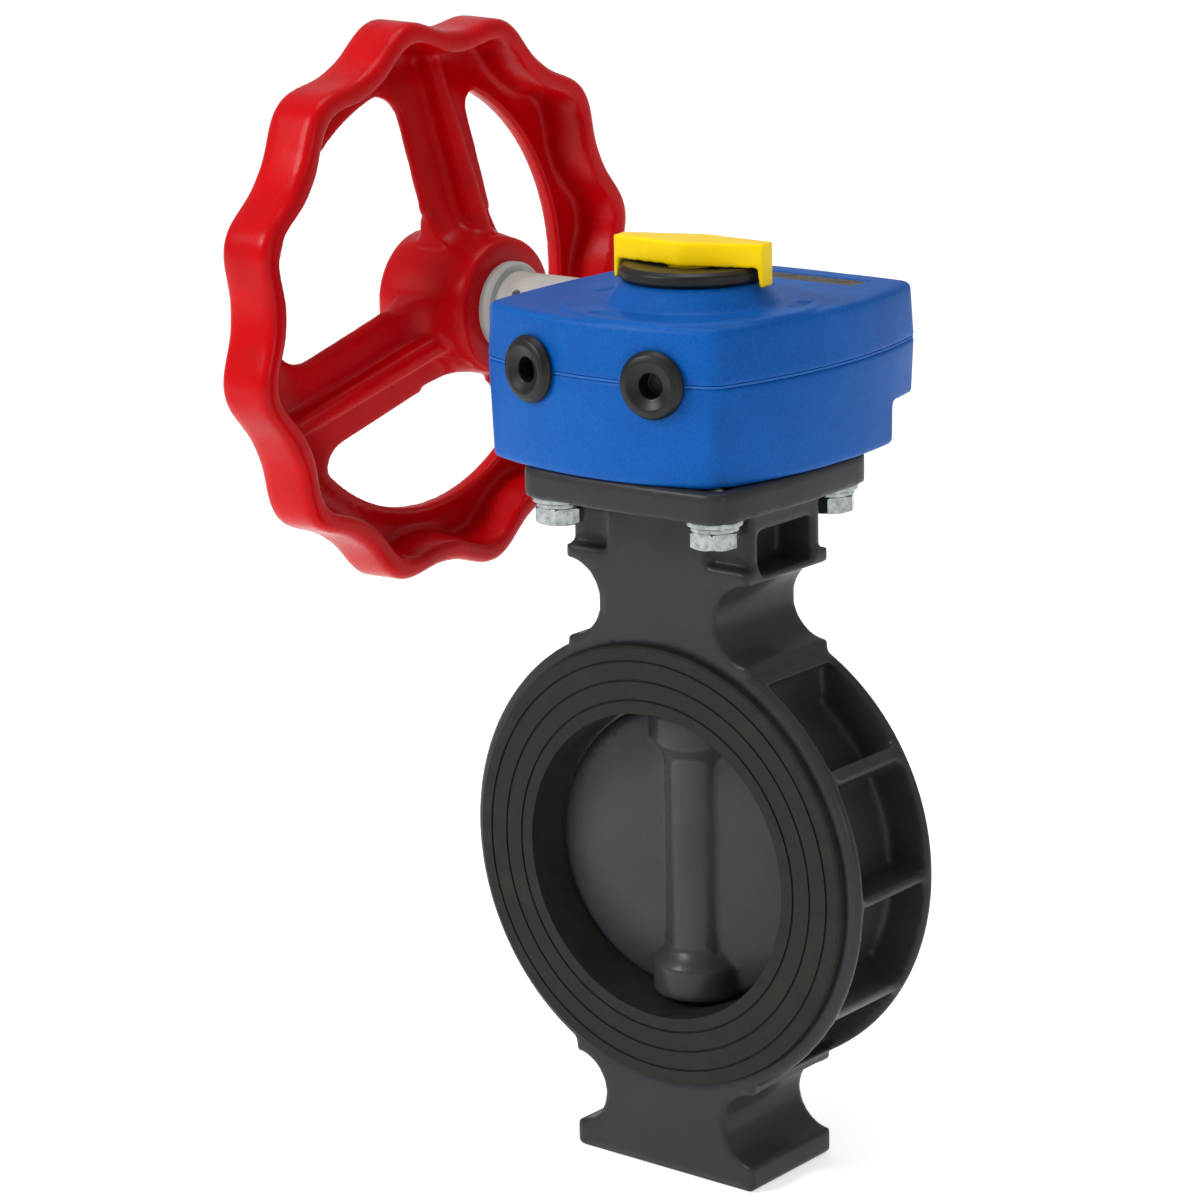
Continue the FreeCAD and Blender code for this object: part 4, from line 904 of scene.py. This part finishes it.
@dataclass
class FlangeBolts(Assembly):
    """Four hexagon bolts with a split and a flat washer each."""

    across: float = 17.0
    head: float = 6.4
    head_round: float = 112.0
    corner_cut: float = 0.15
    dish: float = 0.25
    dish_r: float = 5.6
    face_r: float = 6.6
    bevel: float = 1.4
    bevel_in: float = 0.5
    bevel_slope: float = 1.75
    top_r: float = 9.4
    neck_r: float = 5.6
    shank_r: float = 4.3
    tip_bevel: float = 0.8
    tip_short: float = 4.0
    split: float = 1.6
    spring_in: float = 5.15
    spring_lift: float = 0.1
    spring_steps: int = 90
    flat_in: float = 5.3
    around: int = 120

    def hexagon(self, turn: np.ndarray) -> np.ndarray:
        """Radius of a hexagon with slightly rounded corners.

        A mean with a high negative power takes the lesser of the flat side and the corner's radius.

        Args:
            turn: angles around the bolt.

        Returns:
            The radius at each angle.
        """
        flat = (self.across / 2) / np.cos(turn % (np.pi / 3) - np.pi / 6)
        corner = self.across / math.sqrt(3) - self.corner_cut
        power = self.head_round
        return (flat ** -power + corner ** -power) ** (-1 / power)

    def bolt(self, name: str, centre: np.ndarray, low: float, high: float) -> bpy.types.Object:
        """Bolt with its head down.

        Rows run from the middle of the head's face up to the tip. In the head each row's radius is
        the lesser of the hexagon and a cone, which leaves the curved bevels of a turned blank.

        Args:
            name: name of the piece.
            centre: axis in the plane.
            low: lowest height.
            high: highest height.

        Returns:
            The bolt.
        """
        rise = np.linspace(0.0, self.bevel, 10)
        cone = self.across / 2 - self.bevel_in + rise * self.bevel_slope
        top, free = low + self.head, self.across + 3.0
        heights = np.concatenate([[low + self.dish, low + self.dish, low + self.dish * 0.3],
                                  low + rise, [top - 0.5, top - 0.15, top],
                                  [top, top + 0.4, high - self.tip_bevel, high, high]])
        limits = np.concatenate([[0.0, self.dish_r, self.face_r], cone, [free, free, self.top_r],
                                 [self.neck_r, self.shank_r, self.shank_r,
                                  self.shank_r - self.tip_bevel, 0.0]])[:, None]
        row = np.arange(len(heights))[:, None]
        head_rows = (row >= 3) & (row < 6 + len(rise))
        turn = np.linspace(0, 2 * np.pi, self.around, endpoint=False)
        radius = np.where(head_rows, np.minimum(limits, self.hexagon(turn)[None]), limits)
        points = np.stack([centre[0] + radius * np.cos(turn), centre[1] + radius * np.sin(turn),
                           np.broadcast_to(heights[:, None], radius.shape)], -1).reshape(-1, 3)
        quads = grid_faces(len(heights), self.around, False, True)
        return mesh_object(name, points, outward(points, quads))

    def spring(self, name: str, centre: np.ndarray, low: float, high: float,
               outer: float) -> bpy.types.Object:
        """Split washer, a square bar carried round the bolt and lifted a little on its way.

        Args:
            name: name of the piece.
            centre: axis in the plane.
            low: lowest height.
            high: highest height.
            outer: outer radius.

        Returns:
            The washer.
        """
        lift, steps = self.spring_lift, self.spring_steps
        bar = filleted([(self.spring_in, low + lift, 0.3), (outer, low + lift, 0.3),
                        (outer, high - lift, 0.3), (self.spring_in, high - lift, 0.3)], 4)
        gap = self.split / outer
        turn = (np.linspace(gap / 2, 2 * np.pi - gap / 2, steps) + np.pi * 0.3)[:, None]
        radius, height = bar[None, :, 0], bar[None, :, 1] + np.linspace(-lift, lift, steps)[:, None]
        points = np.stack([centre[0] + radius * np.cos(turn), centre[1] + radius * np.sin(turn),
                           np.broadcast_to(height, (steps, len(bar)))], -1).reshape(-1, 3)
        quads = grid_faces(steps, len(bar), False, True)
        ends = np.arange(steps * len(bar)).reshape(steps, -1)
        return mesh_object(name, points, outward(points, quads), (ends[0], ends[-1, ::-1]))

    def build(self) -> None:
        """Make the bolts and washers where the frame has them."""
        for corner in ("front_left", "front_right", "back_left", "back_right"):
            low, high = box("flange_bolt_" + corner)
            centre = (low + high)[:2] / 2
            bolt = self.bolt("bolt_" + corner, centre, low[2], high[2] - self.tip_short)
            low, high = box("spring_washer_" + corner)
            outer = (high - low)[0] / 2
            split = self.spring("split_washer_" + corner, centre, low[2], high[2], outer)
            low, high = box("flat_washer_" + corner)
            outer = (high - low)[0] / 2
            outline = filleted([(low[2], self.flat_in, 0.15), (low[2], outer, 0.3),
                                (high[2], outer, 0.3), (high[2], self.flat_in, 0.15)], 4)
            flat = turned("plain_washer_" + corner, outline, (*centre, 0.0), Axis.Z.value, 72)
            for piece, node in ((bolt, "flange_bolt_"), (split, "spring_washer_"),
                                (flat, "flat_washer_")):
                self.add(piece, Body.VALVE, "zinc_steel", self.finishes.zinc, node + corner)


@dataclass
class GearCase(Assembly):
    """Blue case with its joint, rubber surrounds, guard ring, blank plate and gear set."""

    base: Softening = softening("gearbox_base", pitch=0.6, edge=0.2, corner=0.4)
    cover: Softening = softening("gearbox_cover", pitch=0.5, edge=0.15, corner=0.35)
    bow_r: float = 140.0
    bow_centre: tuple[float, float] = (-10.0, 88.7)
    seam_z: float = 190.0
    guard_inner: float = 21.05
    guard_step: float = 23.95
    guard_eye: float = 10.0
    neck_top: float = 224.72
    surround_angle: float = 11.7
    surround_r: float = 12.9
    surround_hole: float = 4.6
    surround_proud: float = 4.1
    surround_neck: float = 8.4
    surround_depth: float = 5.9
    surround_skin: float = 5.0

    def surround(self, side: int, name: str) -> bpy.types.Object:
        """Rubber surround of a stop screw, a fat ring whose hole ends in a thin skin.

        Its outline runs from the skin out through the hole, over the lip and back along the neck.

        Args:
            side: -1 for the left one and 1 for the right one.
            name: name of the piece.

        Returns:
            The ring.
        """
        turn = math.radians(self.surround_angle)
        inward = (-side * math.sin(turn), math.cos(turn), 0.0)
        spot = (self.bow_centre[0] + side * self.bow_r * math.sin(turn),
                self.bow_centre[1] - self.bow_r * math.cos(turn), self.seam_z)
        hole, lip, rim = self.surround_hole, -self.surround_proud, self.surround_r
        skin, back = self.surround_skin, self.surround_depth
        outline = filleted([(skin, 0.0, SHARP), (skin, hole, 0.6), (lip + 1.9, hole, 0.9),
                            (lip + 1.3, hole + 1.6, 0.8), (lip, hole + 4.4, 1.8),
                            (lip + 0.7, rim - 1.6, 2.0), (lip + 3.1, rim, 1.3),
                            (-0.1, rim - 0.4, 0.5), (-0.05, self.surround_neck, 0.2),
                            (back, self.surround_neck, 0.4), (back, 0.0, SHARP)], 7)
        return turned(name, outline, spot, inward, 96)

    def guard(self) -> bpy.types.Object:
        """Black rubber ring around the top of the cone, dished down to the pointer's foot.

        Its outline runs up the outside, over the rounded top, in to the foot and back below.

        Returns:
            The ring.
        """
        low, high = box("guard_ring")
        outer = (high - low)[0] / 2
        base, top = low[2] + 0.02, high[2] - 0.01
        inner, step = self.guard_inner, self.guard_step
        outline = filleted([(base, inner, 0.1), (base, outer - 1.2, 0.5),
                            (base + 1.2, outer - 0.05, 1.2), (top - 1.4, outer - 0.02, 1.4),
                            (top, outer - 1.9, 1.2), (top - 0.1, step, 0.8),
                            (top - 0.7, self.guard_eye, 0.2), (self.neck_top, self.guard_eye, 0.1),
                            (self.neck_top, inner, 0.1)], 8)
        return turned("guard_ring_soft", outline, (0.0, 0.0, 0.0), Axis.Z.value, 128)

    def build(self) -> None:
        """Make and dress the case and the gear set."""
        finishes = self.finishes
        for shell in (self.base, self.cover):
            self.add(shell.piece(), Body.VALVE, "housing_paint", finishes.paint, shell.node)
        for side, name in ((-1, "grommet_left"), (1, "grommet_right")):
            ring = self.surround(side, name + "_soft")
            self.add(ring, Body.VALVE, "rubber", finishes.soft_black, name)
        self.add(self.guard(), Body.VALVE, "rubber", finishes.soft_black, "guard_ring")
        self.dress(finishes.seam, "housing_gasket")
        self.dress(finishes.plate, "nameplate")
        self.dress(finishes.zinc, *("cover_screw_%d" % (i + 1) for i in range(4)))
        self.dress(finishes.steel, "stop_screw_open", "stop_screw_closed", "drive_bush", "worm",
                   "worm_shaft", "worm_pin")
        self.dress(finishes.zinc, "stop_nut_open", "stop_nut_closed")
        self.dress(finishes.iron, "worm_wheel")
        self.dress(finishes.bronze, "gear_bushing_lower", "gear_bushing_upper", "worm_bush_left",
                   "worm_bush_right", "thrust_washer_left", "thrust_washer_right")
        self.dress(finishes.soft_black, "shaft_seal")


@dataclass
class Pointer(Assembly):
    """Yellow pointer on the dial."""

    shape: Softening = softening("position_indicator", pitch=0.35, edge=0.55, corner=0.7)
    foot_r: float = 9.5
    flap_in: float = 28.4
    blade_low: float = 226.4

    def below_blade(self, x: np.ndarray, y: np.ndarray, z: np.ndarray) -> np.ndarray:
        """Distance to the ring below the blade that belongs to the black guard ring.

        Args:
            x: position along the shaft.
            y: position across the valve.
            z: height.

        Returns:
            The distance, negative inside the ring.
        """
        radius = np.hypot(x, y)
        ring = np.maximum(self.foot_r - radius, radius - self.flap_in)
        return np.maximum(ring, z - self.blade_low)

    def build(self) -> None:
        """Make the pointer."""
        pointer = self.shape.piece(self.below_blade)
        self.add(pointer, Body.STEM, "pointer_plastic", self.finishes.pointer, self.shape.node)


@dataclass
class Handwheel(Assembly):
    """Red wheel, grey sleeve, wheel screw and black cap."""

    wheel: Softening = softening("handwheel", pitch=0.8, edge=0.9, corner=1.3)
    shaft_y: float = 57.4
    shaft_z: float = 188.0
    first_spoke: float = -3.5
    spoke_half: float = 18.5
    hub_r: float = 28.5
    flange_r: float = 41.5
    spokes: int = 3
    cap_plug: float = 3.0
    cap_plug_r: float = 10.9
    cap_hollow_r: float = 10.0

    def between_spokes(self, x: np.ndarray, y: np.ndarray, z: np.ndarray) -> np.ndarray:
        """Distance to the ring around the hub between the spokes.

        The ring lies between two radii, and each spoke keeps a bar of its own width out of it.

        Args:
            x: position along the shaft, which the ring doesn't depend on.
            y: position across the valve.
            z: height.

        Returns:
            The distance, negative inside the ring.
        """
        across, above = y - self.shaft_y, z - self.shaft_z
        radius = np.hypot(across, above) + 0.0 * x
        inside = np.maximum(self.hub_r - radius, radius - self.flange_r)
        for spoke in range(self.spokes):
            turn = math.radians(self.first_spoke + 360.0 / self.spokes * spoke)
            aside = np.abs(across * math.cos(turn) + above * math.sin(turn))
            out = above * math.cos(turn) - across * math.sin(turn)
            inside = np.maximum(inside, np.minimum(self.spoke_half - aside, out))
        return inside

    def cap(self) -> bpy.types.Object:
        """Black domed cap in the middle of the wheel, hollow behind.

        Its outline runs out along the plug and the seat, over the dome and back inside.

        Returns:
            The cap.
        """
        low, high = box("hub_cap")
        outer = (high - low)[2] / 2
        tip, plug = low[0], high[0]
        seat = plug - self.cap_plug
        outline = filleted([(plug, self.cap_hollow_r, 0.3), (plug, self.cap_plug_r, 0.3),
                            (seat, self.cap_plug_r, 0.1), (seat, outer, 0.4),
                            (seat - 6.0, outer, 2.0), (tip + 2.6, outer - 3.6, 3.0),
                            (tip, outer - 8.0, 2.5), (tip, 0.0, SHARP), (tip + 2.0, 0.0, SHARP),
                            (tip + 2.2, 5.0, 1.0), (seat - 8.0, self.cap_hollow_r, 1.5)], 7)
        return turned("hub_cap_soft", outline, (0.0, self.shaft_y, self.shaft_z), Axis.X.value, 96)

    def build(self) -> None:
        """Make and dress the wheel and what holds it."""
        finishes = self.finishes
        wheel = self.wheel.piece(self.between_spokes)
        self.add(wheel, Body.WHEEL, "wheel_plastic", finishes.wheel, self.wheel.node)
        self.add(self.cap(), Body.WHEEL, "cap_plastic", finishes.cap, "hub_cap")
        self.dress(finishes.coating, "shaft_sleeve")
        self.dress(finishes.zinc, "sleeve_set_screw", "wheel_washer", "wheel_screw")


@dataclass
class Studio:
    """Pale floor, soft lights and the camera of the photograph."""

    azimuth: float = 39.388
    elevation: float = 13.676
    roll: float = -1.212
    distance: float = 1490.6
    target: tuple[float, float, float] = (-62.84, 0.0, 106.05)
    focal_pixels: float = 3866.2
    centre_pixel: tuple[float, float] = (566.84, 556.05)
    image_pixels: float = 1200.0
    sensor: float = 36.0
    floor_z: float = -122.6
    floor_reach: float = 6000.0
    floor_glow: float = 0.55
    sky: float = 0.5
    aim: tuple[float, float, float] = (-0.05, 0.0, 0.1)

    def camera(self) -> None:
        """Put the camera where the photograph was taken from."""
        turn, rise, lean = (math.radians(v) for v in (self.azimuth, self.elevation, self.roll))
        back = Vector((math.sin(turn) * math.cos(rise), -math.cos(turn) * math.cos(rise),
                       math.sin(rise)))
        right = Vector((math.cos(turn), math.sin(turn), 0.0))
        up = back.cross(right)
        across = math.cos(lean) * right + math.sin(lean) * up
        upward = math.cos(lean) * up - math.sin(lean) * right
        data = bpy.data.cameras.new("camera")
        data.sensor_width = self.sensor
        data.lens = self.focal_pixels / self.image_pixels * self.sensor
        data.shift_x = 0.5 - self.centre_pixel[0] / self.image_pixels
        data.shift_y = self.centre_pixel[1] / self.image_pixels - 0.5
        data.clip_start = 0.05
        data.clip_end = 30.0
        camera = bpy.data.objects.new("camera", data)
        bpy.context.scene.collection.objects.link(camera)
        place = Matrix((across, upward, back)).transposed().to_4x4()
        place.translation = (Vector(self.target) + back * self.distance) * MM
        camera.matrix_world = place
        bpy.context.scene.camera = camera

    def light(self, name: str, place: Sequence[float], power: float, size: float) -> None:
        """Square soft light that faces the valve.

        Args:
            name: name of the light.
            place: its position in metres.
            power: its power in watts.
            size: its side in metres.
        """
        data = bpy.data.lights.new(name, "AREA")
        data.energy = power
        data.size = size
        lamp = bpy.data.objects.new(name, data)
        bpy.context.scene.collection.objects.link(lamp)
        lamp.location = place
        aim = Vector(self.aim) - Vector(place)
        lamp.rotation_mode = "QUATERNION"
        lamp.rotation_quaternion = aim.to_track_quat("-Z", "Y")

    def floor(self) -> None:
        """White floor just below the foot, a flat grid that glows a little."""
        lines = 9
        grid = np.linspace(-self.floor_reach, self.floor_reach, lines)
        x, y = np.meshgrid(grid, grid, indexing="ij")
        points = np.stack([x, y, np.full_like(x, self.floor_z)], -1).reshape(-1, 3)
        floor = mesh_object("floor", points, grid_faces(lines, lines, False, False))
        recipe = Recipe("white floor")
        clouds = recipe.noise(400.0, 2.0)
        tone = recipe.mix(clouds, (0.90,) * 3, (0.93,) * 3)
        white = recipe.finish(Base_Color=tone, Roughness=0.9 - clouds * 0.1,
                              Emission_Color=(1.0, 1.0, 1.0), Emission_Strength=self.floor_glow)
        floor.data.materials.append(white)

    def build(self) -> None:
        """Light the valve and set the view."""
        scene = bpy.context.scene
        scene.view_settings.view_transform = "Standard"
        self.camera()
        self.floor()
        self.light("key", (-0.9, -1.5, 1.3), power=27.0, size=0.7)
        self.light("side", (1.7, -0.6, 0.5), power=4.0, size=0.5)
        self.light("top", (-0.2, 0.1, 1.9), power=11.0, size=0.9)
        world = bpy.data.worlds.new("sky")
        world.use_nodes = True
        background = world.node_tree.nodes["Background"]
        background.inputs["Color"].default_value = (1.0, 1.0, 1.0, 1.0)
        background.inputs["Strength"].default_value = self.sky
        scene.world = world


def main() -> None:
    """Build the valve in order."""
    logging.basicConfig(level=logging.INFO, format="%(message)s")
    Studio().build()
    finishes = Finishes()
    for assembly in (ValveBody, FlangeBolts, GearCase, Pointer, Handwheel):
        assembly(finishes).build()


if __name__ == "__main__":
    main()
